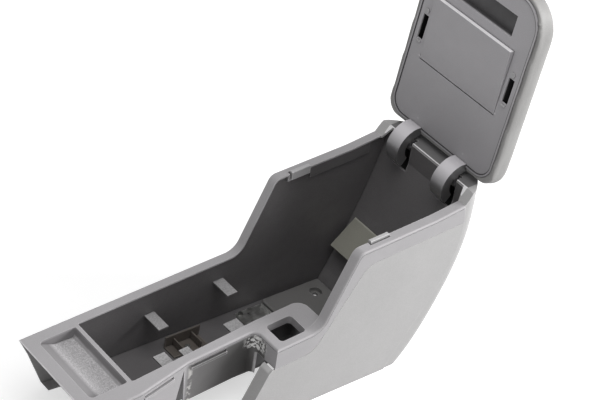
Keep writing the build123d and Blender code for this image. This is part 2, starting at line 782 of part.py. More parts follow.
# Side panels below the seam
with BuildPart() as side_panel_near:
    extrude(panel_face(near_front), amount=SPAN)
    block(on_rails, (0, -HALF_WIDTH, -SPAN), (BRIDGE_X, -HALF_WIDTH + WALL, SPAN), Mode.INTERSECT)
    front_flange(near_front, -HALF_WIDTH + 1, -HALF_WIDTH + PANEL_FLANGE)
    extrude(side_sheet(foot_points, -HALF_WIDTH + PANEL_FLANGE), amount=PANEL_FLANGE - 1)
    extrude(behind_seam(-SEAM_GAP / 2), amount=SPAN, mode=Mode.SUBTRACT)

with BuildPart() as side_panel_far:
    extrude(panel_face(far_front), amount=SPAN)
    block(on_rails, (0, HALF_WIDTH - WALL, -SPAN), (BRIDGE_X, HALF_WIDTH, SPAN), Mode.INTERSECT)
    front_flange(far_front[1:], HALF_WIDTH - PANEL_FLANGE, HALF_WIDTH - 1)
    extrude(side_sheet(foot_points, HALF_WIDTH - 1), amount=PANEL_FLANGE - 1)
    extrude(behind_seam(-SEAM_GAP / 2), amount=SPAN, mode=Mode.SUBTRACT)


def cover_slices(inset):
    """The rear cover's bowed plan at each of its heights."""
    slices = []
    for z, corner_x, bow in zip(COVER_HEIGHTS, COVER_CORNER_X, COVER_BOW):
        with BuildSketch(RAILS.offset(z)) as level:
            with BuildLine():
                near = (corner_x, -cover_half)
                far = (corner_x, cover_half)
                ThreePointArc(near, (corner_x + bow, 0), far)
                Polyline(far, (COVER_FRONT_X, cover_half), (COVER_FRONT_X, -cover_half), near)
            make_face()
            corners = level.vertices().sort_by(Axis.X)[-2:]
            fillet(corners, COVER_CORNER_RADIUS)
            if inset:
                offset(amount=-inset, kind=Kind.INTERSECTION)
        slices.append(level.sketch)
    return slices


def cover_profile(inset):
    """Side view of the rear cover's raised rim, down past its lower edge."""
    with BuildSketch(FAR_SIDE) as region:
        with BuildLine():
            Polyline(
                (300, rim_rear_z),
                (REAR_RIM_RISE_X, rim_rear_z),
                (REAR_RIM_X, REAR_RIM_Z),
                (BRIDGE_X, REAR_RIM_Z),
                (BRIDGE_X, ground_z(BRIDGE_X) - 3 * inset),
                (300, ground_z(300) - 3 * inset),
                close=True,
            )
        make_face()
        if inset:
            offset(amount=-inset, kind=Kind.INTERSECTION)
    return region.sketch


def cover_opening(grow):
    """The bin opening's rear end seen from above."""
    with BuildSketch(RAILS.offset(LINER_TOP_REAR_Z + SEAM_GAP)) as region:
        with BuildLine():
            Polyline(
                (500, open_half + grow),
                (617, open_half + grow),
                (REAR_RIM_X + grow, rim_inner_half + grow),
                (REAR_RIM_X + grow, -rim_inner_half - grow),
                (617, -open_half - grow),
                (500, -open_half - grow),
                close=True,
            )
        make_face()
    return region.sketch


# Rear cover with the raised rim behind the bin
with BuildPart() as cover_room:
    loft(cover_slices(WALL))
    extrude(cover_profile(WALL), amount=SPAN, mode=Mode.INTERSECT)

with BuildPart() as cover_block:
    loft(cover_slices(0))
    extrude(cover_profile(0), amount=SPAN, mode=Mode.INTERSECT)

with BuildPart() as rear_cover:
    add(cover_block.part)
    add(cover_room.part, mode=Mode.SUBTRACT)
    extrude(cover_opening(0), amount=60, mode=Mode.SUBTRACT)
    block(on_rails, (300, -open_half - LINER_WALL, 40), (617, open_half + LINER_WALL, 200), Mode.SUBTRACT)
    for side in (1, -1):
        low_y, high_y = sorted((side * (ARM_Y - arm_slot_half - 1), side * (ARM_Y + arm_slot_half)))
        block(on_rails, (600, low_y, 90), (ARM_NOTCH_REAR_X, high_y, 200), Mode.SUBTRACT)
    with BuildPart(mode=Mode.PRIVATE) as cover_reach:
        extrude(behind_seam(SEAM_GAP / 2), amount=SPAN)
    add(cover_reach.part, mode=Mode.INTERSECT)

# Plate on the bin floor with its two recessed cups
with BuildPart() as floor_plate:
    low = (PLATE_FRONT_X, -floor_plate_half, 0)
    high = (PLATE_FRONT_X + PLATE_LENGTH, floor_plate_half, FLOOR_PLATE_HEIGHT)
    block(on_floor, low, high)
    fillet(floor_plate.edges().filter_by(Axis.Z), 5)
    fillet(floor_plate.faces().sort_by(Axis.Z)[-1].edges(), 3)
    with BuildPart(mode=Mode.PRIVATE) as plate_room:
        block(
            on_floor,
            (low[0] + LINER_WALL, low[1] + LINER_WALL, 0),
            (high[0] - LINER_WALL, high[1] - LINER_WALL, FLOOR_PLATE_HEIGHT - LINER_WALL),
        )
        with Locations(*[on_floor(CUP_X, side * cup_y, FLOOR_PLATE_HEIGHT / 2) for side in (1, -1)]):
            Cylinder(CUP_RADIUS + 2, 2 * FLOOR_PLATE_HEIGHT, mode=Mode.SUBTRACT)
    add(plate_room.part, mode=Mode.SUBTRACT)
    with Locations(*[on_floor(CUP_X, side * cup_y, LINER_WALL + FLOOR_PLATE_HEIGHT) for side in (1, -1)]):
        Cylinder(CUP_RADIUS, 2 * FLOOR_PLATE_HEIGHT, mode=Mode.SUBTRACT)
    with Locations(*[on_floor(CUP_X, side * cup_y, 0) for side in (1, -1)]):
        Cylinder(CUP_HOLE_RADIUS, 4 * FLOOR_PLATE_HEIGHT, mode=Mode.SUBTRACT)

# Cover over the duct on the bin's rear wall
with BuildPart() as duct_cover:
    duct_points = [
        (duct_top_x, DUCT_TOP_Z),
        (duct_front_x, DUCT_FRONT_Z),
        (duct_front_x + 3, DUCT_FRONT_Z - DUCT_EDGE),
        (duct_top_x, DUCT_LOW_Z),
    ]
    extrude(side_sheet(duct_points, duct_half), amount=2 * duct_half)
    with BuildPart(mode=Mode.PRIVATE) as duct_room:
        inner_points = [
            (duct_top_x + 9, DUCT_TOP_Z),
            (duct_front_x + 5, DUCT_FRONT_Z),
            (duct_front_x + 6, DUCT_FRONT_Z - 2),
            (duct_top_x + 9, DUCT_LOW_Z + 2),
        ]
        inner_half = duct_half - 2
        extrude(side_sheet(inner_points, inner_half), amount=2 * inner_half)
    add(duct_room.part, mode=Mode.SUBTRACT)
    extrude(bin_rear(0), amount=SPAN, mode=Mode.SUBTRACT)

# Bracket low in the trough
with BuildPart() as shifter_bracket:
    bracket_end = BRACKET_X + BRACKET_LENGTH_X
    bracket_far = BRACKET_Y + BRACKET_WIDTH
    block(on_floor, (BRACKET_X, BRACKET_Y, 0), (bracket_end, bracket_far, BRACKET_SHEET))
    block(on_floor, (BRACKET_X, bracket_far - BRACKET_SHEET, 0), (bracket_end, bracket_far, BRACKET_HEIGHT))
    for rib_x in (BRACKET_X + BRACKET_RIB, bracket_end - BRACKET_RIB - BRACKET_SHEET):
        block(on_floor, (rib_x, BRACKET_Y, 0), (rib_x + BRACKET_SHEET, bracket_far, 0.7 * BRACKET_HEIGHT))
    fillet(shifter_bracket.edges().filter_by(Axis.Y).group_by(Axis.Z)[-1], 0.6)

# Small metal plate ahead of the floor plate
with BuildPart() as clip_plate:
    clip_rear = CLIP_SCREW_X + CLIP_PLATE_REAR
    block(on_floor, (CLIP_SCREW_X - 8, CLIP_PLATE_Y, 0), (clip_rear, CLIP_PLATE_Y + CLIP_PLATE_WIDTH, CLIP_PLATE))
    fillet(clip_plate.edges().filter_by(Axis.Z), 4)
    block(
        on_floor,
        (clip_rear - CLIP_PLATE, CLIP_PLATE_Y + 4, 0),
        (clip_rear, CLIP_PLATE_Y + CLIP_PLATE_WIDTH - 4, CLIP_PLATE_LIP),
    )

# Screws in the bin floor
floor_screw_places = [
    (CLIP_SCREW_X, CLIP_SCREW_Y, CLIP_PLATE),
    (BRACKET_X + BRACKET_LENGTH_X / 2, BRACKET_Y + 10, BRACKET_SHEET),
]
with BuildPart() as floor_screws:
    for x, y, top in floor_screw_places:
        with Locations(on_floor(x, y, top)):
            Cylinder(SCREW_HEAD_RADIUS, SCREW_HEAD, align=STANDING)
        with Locations(on_floor(x, y, top - 7)):
            Cylinder(SCREW_RADIUS, 7.5, align=STANDING)
    for x, y, top in floor_screw_places:
        with Locations(on_floor(x, y, top + SCREW_HEAD)):
            Box(5, 1, 1.2, mode=Mode.SUBTRACT)
            Box(1, 5, 1.2, mode=Mode.SUBTRACT)

with BuildPart() as screw_bores:
    for x, y, top in floor_screw_places:
        with Locations(on_floor(x, y, 0)):
            Cylinder(SCREW_RADIUS, 20)
clip_plate.part = clip_plate.part - screw_bores.part
shifter_bracket.part = shifter_bracket.part - screw_bores.part
bin_liner.part = bin_liner.part - screw_bores.part

# Blocks that stand in the rims and locate the closed lid


def rim_block(side):
    """One locating block, with its upper edges eased."""
    with BuildPart() as piece:
        block(
            on_rails,
            (BLOCK_FRONT_X, side * block_y - BLOCK_WIDTH / 2, seat_low),
            (block_rear_x, side * block_y + BLOCK_WIDTH / 2, RIM_Z + BLOCK_PROUD),
        )
        fillet(piece.faces().sort_by(Axis.Z)[-1].edges(), 1.2)
    return piece.part


with BuildPart() as rim_block_near:
    add(rim_block(-1))

with BuildPart() as rim_block_far:
    add(rim_block(1))

# Clip under the front of the deck
with BuildPart() as front_clip:
    block(on_rails, (4, 22, -WALL - CLIP_METAL), (15, 22 + CLIP_LENGTH, -WALL))
    block(on_rails, (15 - CLIP_METAL, 22, -WALL - CLIP_HEIGHT), (15, 22 + CLIP_LENGTH, -WALL))
    block(on_rails, (8, 22, -WALL - CLIP_HEIGHT), (15, 22 + CLIP_LENGTH, -WALL - CLIP_HEIGHT + CLIP_METAL))

# Rod that the lid turns on
with BuildPart() as hinge_pin:
    cross_rod(on_rails, PIN_X, PIN_Z, PIN_HALF_LENGTH, PIN_RADIUS)
    chamfer(hinge_pin.edges().filter_by(GeomType.CIRCLE), 0.6)


def hinge_bracket(side):
    """One U-shaped bracket: a base on the shelf and a cheek on each side of the arm."""
    middle = side * ARM_Y
    inner_gap = ARM_WIDTH / 2 + CHEEK_GAP
    cheek_points = [
        (BRACKET_FRONT_X, BRACKET_BASE_Z),
        (BRACKET_FRONT_X + BRACKET_LENGTH, BRACKET_BASE_Z),
        (BRACKET_FRONT_X + BRACKET_LENGTH, BRACKET_BASE_Z + 14),
        (PIN_X + 6.5, PIN_Z),
        (PIN_X, PIN_Z + 6.5),
        (BRACKET_FRONT_X, PIN_Z),
    ]
    with BuildPart() as piece:
        for face_y in (middle + inner_gap + CHEEK, middle - inner_gap):
            extrude(side_sheet(cheek_points, face_y, radius=[1, 1, 6, 4, 4, 1]), amount=CHEEK)
        block(
            on_rails,
            (BRACKET_FRONT_X, middle - inner_gap - CHEEK, BRACKET_BASE_Z),
            (BRACKET_FRONT_X + BRACKET_LENGTH, middle + inner_gap + CHEEK, BRACKET_BASE_Z + CHEEK),
        )
        cross_rod(on_rails, PIN_X, PIN_Z, SPAN, PIN_RADIUS, Mode.SUBTRACT)
        with Locations(on_rails(HINGE_SCREW_X, middle, BRACKET_BASE_Z)):
            Cylinder(SCREW_RADIUS, 20, mode=Mode.SUBTRACT)
    return piece.part


with BuildPart() as hinge_bracket_near:
    add(hinge_bracket(-1))

with BuildPart() as hinge_bracket_far:
    add(hinge_bracket(1))

with BuildPart() as hinge_screws:
    for side in (1, -1):
        with Locations(on_rails(HINGE_SCREW_X, side * ARM_Y, BRACKET_BASE_Z + CHEEK)):
            Cylinder(SCREW_HEAD_RADIUS, SCREW_HEAD, align=STANDING)
        with Locations(on_rails(HINGE_SCREW_X, side * ARM_Y, BRACKET_BASE_Z - 6)):
            Cylinder(SCREW_RADIUS, 6 + CHEEK + 0.5, align=STANDING)

with BuildPart() as shelf_bores:
    for side in (1, -1):
        with Locations(on_rails(HINGE_SCREW_X, side * ARM_Y, BRACKET_BASE_Z)):
            Cylinder(SCREW_RADIUS, 20)
bin_liner.part = bin_liner.part - shelf_bores.part

# Spring clips across the seams, on the inner faces
with BuildPart() as panel_clips:
    clip_places = [(x, SEAM_LOW_Z, side) for x, side in LOW_CLIPS]
    clip_places += [(x, SEAM_HIGH_Z, side) for x, side in HIGH_CLIPS]
    for x, z, side in clip_places:
        low_y, high_y = sorted((side * (HALF_WIDTH - WALL), side * (HALF_WIDTH - WALL - CLIP_METAL)))
        block(
            on_rails,
            (x - CLIP_LENGTH / 2, low_y, z - CLIP_HEIGHT / 2),
            (x + CLIP_LENGTH / 2, high_y, z + CLIP_HEIGHT / 2),
        )


def around_pin(radius, angle):
    """A point on a circle about the hinge pin, in rail axes."""
    return (PIN_X + radius * cos(radians(angle)), PIN_Z + radius * sin(radians(angle)))


def lid_point(u, w):
    """A point of the lid's side view in rail axes."""
    tilt = radians(LID_OPEN_TILT)
    return (LID_FOOT_X + u * sin(tilt) + w * cos(tilt), LID_FOOT_Z + u * cos(tilt) - w * sin(tilt))


panel_back = PANEL_RECESS + PANEL_THICKNESS
arm_foot_back = panel_back + ARM_FOOT


def arm_ports(low_u, high_u):
    """Ways in for the two arms through the lid's lower edge."""
    half = ARM_WIDTH / 2 + CHEEK_GAP
    for side in (1, -1):
        block(
            on_lid,
            (low_u, side * ARM_Y - half, -2),
            (high_u, side * ARM_Y + half, arm_foot_back + CHEEK_GAP),
            Mode.SUBTRACT,
        )


# Padded armrest cover
with BuildPart() as lid_pad:
    extrude(lid_outline(0, 0), amount=LID_THICKNESS)
    pad_faces = lid_pad.faces().sort_by(Axis(LID.origin, LID.z_dir))
    fillet(pad_faces[-1].edges(), PAD_ROLL)
    pad_faces = lid_pad.faces().sort_by(Axis(LID.origin, LID.z_dir))
    fillet(pad_faces[0].edges(), PAD_FRONT_ROLL)
    extrude(lid_outline(SHELL_INSET, 0), amount=SHELL_DEPTH, mode=Mode.SUBTRACT)
    arm_ports(LID_LOW_U - 4, LID_LOW_U + SHELL_INSET + 2)

# Hard tray under the padding
shell_gap = SHELL_INSET + SOFT_GAP
boss_places = [(u, side * (lid_half - margin)) for u, margin in LID_BOSSES for side in (1, -1)]
with BuildPart() as lid_shell:
    extrude(lid_outline(shell_gap, 0), amount=SHELL_DEPTH)
    extrude(lid_outline(shell_gap + SHELL_RIM, 0), amount=SHELL_DEPTH - SHELL_BACK, mode=Mode.SUBTRACT)
    boss_height = SHELL_DEPTH - SHELL_BACK - panel_back
    with Locations(*[on_lid(u, y, panel_back) for u, y in boss_places]):
        Cylinder(4.5, boss_height + 1, align=STANDING)
    arm_ports(LID_LOW_U, LID_LOW_U + shell_gap + SHELL_RIM + 0.5)

# Underside trim with the compartment tub, the latch pocket and the side slots
door_pin_u = DOOR_LOW_U + DOOR_BARREL
door_low_w = PANEL_RECESS - DOOR_LOW_PROUD
door_high_w = PANEL_RECESS - DOOR_PROUD
door_pin_w = door_low_w + DOOR_BARREL
door_half = lid_half - DOOR_SIDE
pocket_half = lid_half - POCKET_SIDE
tub_low = DOOR_LOW_U - DOOR_GAP
tub_high = DOOR_HIGH_U + DOOR_GAP
tub_half = door_half + DOOR_GAP
with BuildPart() as lid_panel:
    extrude(lid_outline(shell_gap + SHELL_RIM + PANEL_GAP, PANEL_RECESS), amount=PANEL_THICKNESS)
    block(
        on_lid,
        (tub_low - TUB_WALL, -tub_half - TUB_WALL, PANEL_RECESS + 1),
        (tub_high + TUB_WALL, tub_half + TUB_WALL, PANEL_RECESS + TUB_DEPTH),
    )
    block(
        on_lid,
        (POCKET_LOW_U - TUB_WALL, -pocket_half - TUB_WALL, PANEL_RECESS + 1),
        (POCKET_HIGH_U + TUB_WALL, pocket_half + TUB_WALL, PANEL_RECESS + POCKET_DEPTH),
    )
    block(
        on_lid,
        (tub_low, -tub_half, -1),
        (tub_high, tub_half, PANEL_RECESS + TUB_DEPTH - TUB_WALL),
        Mode.SUBTRACT,
    )
    block(
        on_lid,
        (POCKET_LOW_U, -pocket_half, -1),
        (POCKET_HIGH_U, pocket_half, PANEL_RECESS + POCKET_DEPTH - TUB_WALL),
        Mode.SUBTRACT,
    )
    with Locations(*[on_lid((SLOT_LOW_U + SLOT_HIGH_U) / 2, side * (lid_half - SIDE_SLOT_SIDE), 0) for side in (1, -1)]):
        Box(SLOT_HIGH_U - SLOT_LOW_U, SIDE_SLOT_WIDTH, 20, mode=Mode.SUBTRACT)
    for side in (1, -1):
        ear_y = side * (tub_half + DOOR_EAR / 2)
        cross_rod(on_lid, door_pin_u, door_pin_w, DOOR_EAR / 2, DOOR_BARREL, middle_y=ear_y)
        block(
            on_lid,
            (door_pin_u - DOOR_BARREL, ear_y - DOOR_EAR / 2, door_pin_w),
            (door_pin_u + DOOR_BARREL, ear_y + DOOR_EAR / 2, panel_back),
        )
    cross_rod(on_lid, door_pin_u, door_pin_w, tub_half + DOOR_EAR + 1, DOOR_PIN_RADIUS, Mode.SUBTRACT)
    arm_ports(LID_LOW_U, ARM_TOP_U + CHEEK_GAP)
    with Locations(*[on_lid(ARM_SCREW_U, side * ARM_Y, panel_back - ARM_BITE) for side in (1, -1)]):
        Cylinder(SCREW_RADIUS, ARM_BITE + 1, align=STANDING, mode=Mode.SUBTRACT)


def hinge_arm(side):
    """One curved arm: a band about the pin, a web to its hub, and a foot behind the underside trim."""
    far_y = side * ARM_Y + ARM_WIDTH / 2
    foot = [
        around_pin(arm_inner_radius, 100),
        around_pin(arm_inner_radius, 93),
        lid_point(-16.5, 1),
        lid_point(ARM_TOP_U - 7, arm_foot_back),
        lid_point(ARM_FOOT_U, arm_foot_back),
        lid_point(ARM_FOOT_U, panel_back),
        lid_point(ARM_TOP_U, panel_back),
        lid_point(ARM_TOP_U, 0),
        around_pin(ARM_OUTER_RADIUS, 92),
        around_pin(ARM_OUTER_RADIUS - 0.1, 100),
    ]
    with BuildSketch(SIDE.offset(-far_y)) as profile:
        with BuildLine():
            outer = CenterArc((PIN_X, PIN_Z), ARM_OUTER_RADIUS, 92, ARM_END_ANGLE - 92)
            inner = CenterArc((PIN_X, PIN_Z), arm_inner_radius, 92, ARM_END_ANGLE - 92)
            Line(outer @ 0, inner @ 0)
            Line(outer @ 1, inner @ 1)
        make_face()
        tip = profile.vertices().sort_by(Axis.Y)[:2]
        fillet(tip, 3)
        with BuildLine():
            Polyline(*foot, close=True)
        make_face()
        with BuildLine():
            left = around_pin(ARM_WEB / 2, ARM_WEB_ANGLE + 90)
            right = around_pin(ARM_WEB / 2, ARM_WEB_ANGLE - 90)
            reach = around_pin(arm_inner_radius + 2, ARM_WEB_ANGLE)
            step = (reach[0] - PIN_X, reach[1] - PIN_Z)
            Polyline(
                left,
                right,
                (right[0] + step[0], right[1] + step[1]),
                (left[0] + step[0], left[1] + step[1]),
                close=True,
            )
        make_face()
        with Locations((PIN_X, PIN_Z)):
            Circle(ARM_HUB_RADIUS)
            Circle(PIN_RADIUS + PIN_CLEARANCE, mode=Mode.SUBTRACT)
    with BuildPart() as piece:
        extrude(profile.sketch, amount=ARM_WIDTH)
        with Locations(on_lid(ARM_SCREW_U, side * ARM_Y, panel_back - 1)):
            Cylinder(SCREW_RADIUS, ARM_FOOT + 2, align=STANDING, mode=Mode.SUBTRACT)
    return piece.part


with BuildPart() as hinge_arm_near:
    add(hinge_arm(-1))

with BuildPart() as hinge_arm_far:
    add(hinge_arm(1))

# Screws through the arms' feet into the underside trim
with BuildPart() as arm_screws:
    for side in (1, -1):
        with Locations(on_lid(ARM_SCREW_U, side * ARM_Y, arm_foot_back)):
            Cylinder(SCREW_HEAD_RADIUS, SCREW_HEAD, align=STANDING)
        with Locations(on_lid(ARM_SCREW_U, side * ARM_Y, panel_back - ARM_BITE)):
            Cylinder(SCREW_RADIUS, ARM_BITE + ARM_FOOT + 0.5, align=STANDING)

# Small pads at the ends of the side slots
with BuildPart() as lid_bumpers:
    for side in (1, -1):
        bumper_y = side * (lid_half - BUMPER_SIDE)
        with Locations(on_lid(SLOT_HIGH_U + 7, bumper_y, PANEL_RECESS - BUMPER_PROUD)):
            Cylinder(BUMPER_RADIUS, BUMPER_PROUD, align=STANDING)
        block(
            on_lid,
            (SLOT_LOW_U - 5, bumper_y - BUMPER_RADIUS, PANEL_RECESS - BUMPER_PROUD),
            (SLOT_LOW_U - 2, bumper_y + BUMPER_RADIUS, PANEL_RECESS),
        )

# Wire that the compartment door turns on
with BuildPart() as door_pin:
    cross_rod(on_lid, door_pin_u, door_pin_w, tub_half + DOOR_EAR, DOOR_PIN_RADIUS)

# Compartment door: a hollow wedge, flush at its hinge and proud at its upper end
door_slope = (door_high_w - door_low_w) / (DOOR_HIGH_U - door_pin_u)
door_back = PANEL_RECESS + DOOR_BACK
room_low_u = door_pin_u + DOOR_BARREL + DOOR_WALL
room_high_u = DOOR_HIGH_U - DOOR_WALL
door_points = [
    (door_pin_u, door_low_w),
    (DOOR_HIGH_U, door_high_w),
    (DOOR_HIGH_U, door_back),
    (door_pin_u, door_back),
]
door_room = [
    (room_low_u, door_low_w + door_slope * (room_low_u - door_pin_u) + DOOR_WALL),
    (room_high_u, door_low_w + door_slope * (room_high_u - door_pin_u) + DOOR_WALL),
    (room_high_u, door_back + 1),
    (room_low_u, door_back + 1),
]
with BuildPart() as compartment_door:
    extrude(lid_sheet(door_points, -door_half), amount=2 * door_half)
    door_top = [e for e in compartment_door.edges() if LID.to_local_coords(e @ 0.5).Z < door_low_w - 0.5]
    fillet(door_top, DOOR_EDGE)
    extrude(lid_sheet(door_room, DOOR_WALL - door_half), amount=2 * (door_half - DOOR_WALL), mode=Mode.SUBTRACT)
    cross_rod(on_lid, door_pin_u, door_pin_w, door_half, DOOR_BARREL)
    cross_rod(on_lid, door_pin_u, door_pin_w, SPAN, DOOR_PIN_RADIUS + PIN_CLEARANCE, Mode.SUBTRACT)

top_frame.part.label = "top_frame"
export_step(top_frame.part, "parts/top_frame.step")
bin_liner.part.label = "bin_liner"
export_step(bin_liner.part, "parts/bin_liner.step")
side_panel_near.part.label = "side_panel_near"
export_step(side_panel_near.part, "parts/side_panel_near.step")
side_panel_far.part.label = "side_panel_far"
export_step(side_panel_far.part, "parts/side_panel_far.step")
rear_cover.part.label = "rear_cover"
export_step(rear_cover.part, "parts/rear_cover.step")
floor_plate.part.label = "floor_plate"
export_step(floor_plate.part, "parts/floor_plate.step")
duct_cover.part.label = "duct_cover"
export_step(duct_cover.part, "parts/duct_cover.step")
shifter_bracket.part.label = "shifter_bracket"
export_step(shifter_bracket.part, "parts/shifter_bracket.step")
clip_plate.part.label = "clip_plate"
export_step(clip_plate.part, "parts/clip_plate.step")
floor_screws.part.label = "floor_screws"
export_step(floor_screws.part, "parts/floor_screws.step")
rim_block_near.part.label = "rim_block_near"
export_step(rim_block_near.part, "parts/rim_block_near.step")
rim_block_far.part.label = "rim_block_far"
export_step(rim_block_far.part, "parts/rim_block_far.step")
front_clip.part.label = "front_clip"
export_step(front_clip.part, "parts/front_clip.step")
hinge_pin.part.label = "hinge_pin"
export_step(hinge_pin.part, "parts/hinge_pin.step")
hinge_bracket_near.part.label = "hinge_bracket_near"
export_step(hinge_bracket_near.part, "parts/hinge_bracket_near.step")
hinge_bracket_far.part.label = "hinge_bracket_far"
export_step(hinge_bracket_far.part, "parts/hinge_bracket_far.step")
hinge_screws.part.label = "hinge_screws"
export_step(hinge_screws.part, "parts/hinge_screws.step")
panel_clips.part.label = "panel_clips"
export_step(panel_clips.part, "parts/panel_clips.step")
lid_shell.part.label = "lid_shell"
export_step(lid_shell.part, "parts/lid_shell.step")
lid_pad.part.label = "lid_pad"
export_step(lid_pad.part, "parts/lid_pad.step")
lid_panel.part.label = "lid_panel"
export_step(lid_panel.part, "parts/lid_panel.step")
hinge_arm_near.part.label = "hinge_arm_near"
export_step(hinge_arm_near.part, "parts/hinge_arm_near.step")
hinge_arm_far.part.label = "hinge_arm_far"
export_step(hinge_arm_far.part, "parts/hinge_arm_far.step")
arm_screws.part.label = "arm_screws"
export_step(arm_screws.part, "parts/arm_screws.step")
lid_bumpers.part.label = "lid_bumpers"
export_step(lid_bumpers.part, "parts/lid_bumpers.step")
door_pin.part.label = "door_pin"
export_step(door_pin.part, "parts/door_pin.step")
compartment_door.part.label = "compartment_door"
export_step(compartment_door.part, "parts/compartment_door.step")
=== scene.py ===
import json
import math

import bmesh
import bpy
from mathutils import Matrix, Vector


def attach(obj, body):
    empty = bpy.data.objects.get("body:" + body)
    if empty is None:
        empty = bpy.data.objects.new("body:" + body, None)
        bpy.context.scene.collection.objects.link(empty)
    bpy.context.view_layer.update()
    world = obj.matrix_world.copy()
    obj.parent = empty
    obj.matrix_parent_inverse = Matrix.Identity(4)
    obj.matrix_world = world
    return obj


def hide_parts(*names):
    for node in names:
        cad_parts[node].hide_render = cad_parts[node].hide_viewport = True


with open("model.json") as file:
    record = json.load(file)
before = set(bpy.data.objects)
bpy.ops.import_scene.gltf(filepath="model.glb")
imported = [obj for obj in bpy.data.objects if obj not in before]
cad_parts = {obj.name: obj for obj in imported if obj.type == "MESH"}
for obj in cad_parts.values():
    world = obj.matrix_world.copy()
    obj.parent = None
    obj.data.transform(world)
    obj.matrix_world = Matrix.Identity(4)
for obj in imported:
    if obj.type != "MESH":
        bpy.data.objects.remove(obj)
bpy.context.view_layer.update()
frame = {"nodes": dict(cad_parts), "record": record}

scene = bpy.context.scene

# How the part stands: the rails rise to the rear, and the lid leans back from upright
RAKE = math.radians(4.0)
LID_TILT = math.radians(8.0)
# Rail origin in the frame, in metres, and the lid's foot in rail axes, in millimetres
LENGTH_SHIFT = -0.34951
HEIGHT_SHIFT = 0.11253
LID_FOOT_X, LID_FOOT_Z = 648, 162


def standing(x, y, z):
    """A point given in rail axes, in millimetres, as it stands on the ground, in metres."""
    return Vector(
        (
            LENGTH_SHIFT + (x * math.cos(RAKE) - z * math.sin(RAKE)) / 1000,
            y / 1000,
            HEIGHT_SHIFT + (x * math.sin(RAKE) + z * math.cos(RAKE)) / 1000,
        )
    )


def on_lid(u, y, w):
    """A point of the lid, in millimetres: up from its foot, across, and towards its padded back."""
    return standing(
        LID_FOOT_X + u * math.sin(LID_TILT) + w * math.cos(LID_TILT),
        y,
        LID_FOOT_Z + u * math.cos(LID_TILT) - w * math.sin(LID_TILT),
    )


def linear(value):
    """One colour channel from 0-255 screen values to linear light."""
    v = value / 255
    return v / 12.92 if v <= 0.04045 else ((v + 0.055) / 1.055) ** 2.4


def tone(r, g, b):
    """A colour in linear light from 0-255 screen values."""
    return (linear(r), linear(g), linear(b), 1.0)


def shade(rgb, by):
    """A screen colour made lighter or darker by so many steps, in linear light."""
    return tone(*[max(0, min(255, c + by)) for c in rgb])


rail_up = (standing(0, 0, 1000) - standing(0, 0, 0)).normalized()
rail_back = (standing(1000, 0, 0) - standing(0, 0, 0)).normalized()
lid_back = (on_lid(0, 0, 1000) - on_lid(0, 0, 0)).normalized()
lid_up = (on_lid(1000, 0, 0) - on_lid(0, 0, 0)).normalized()


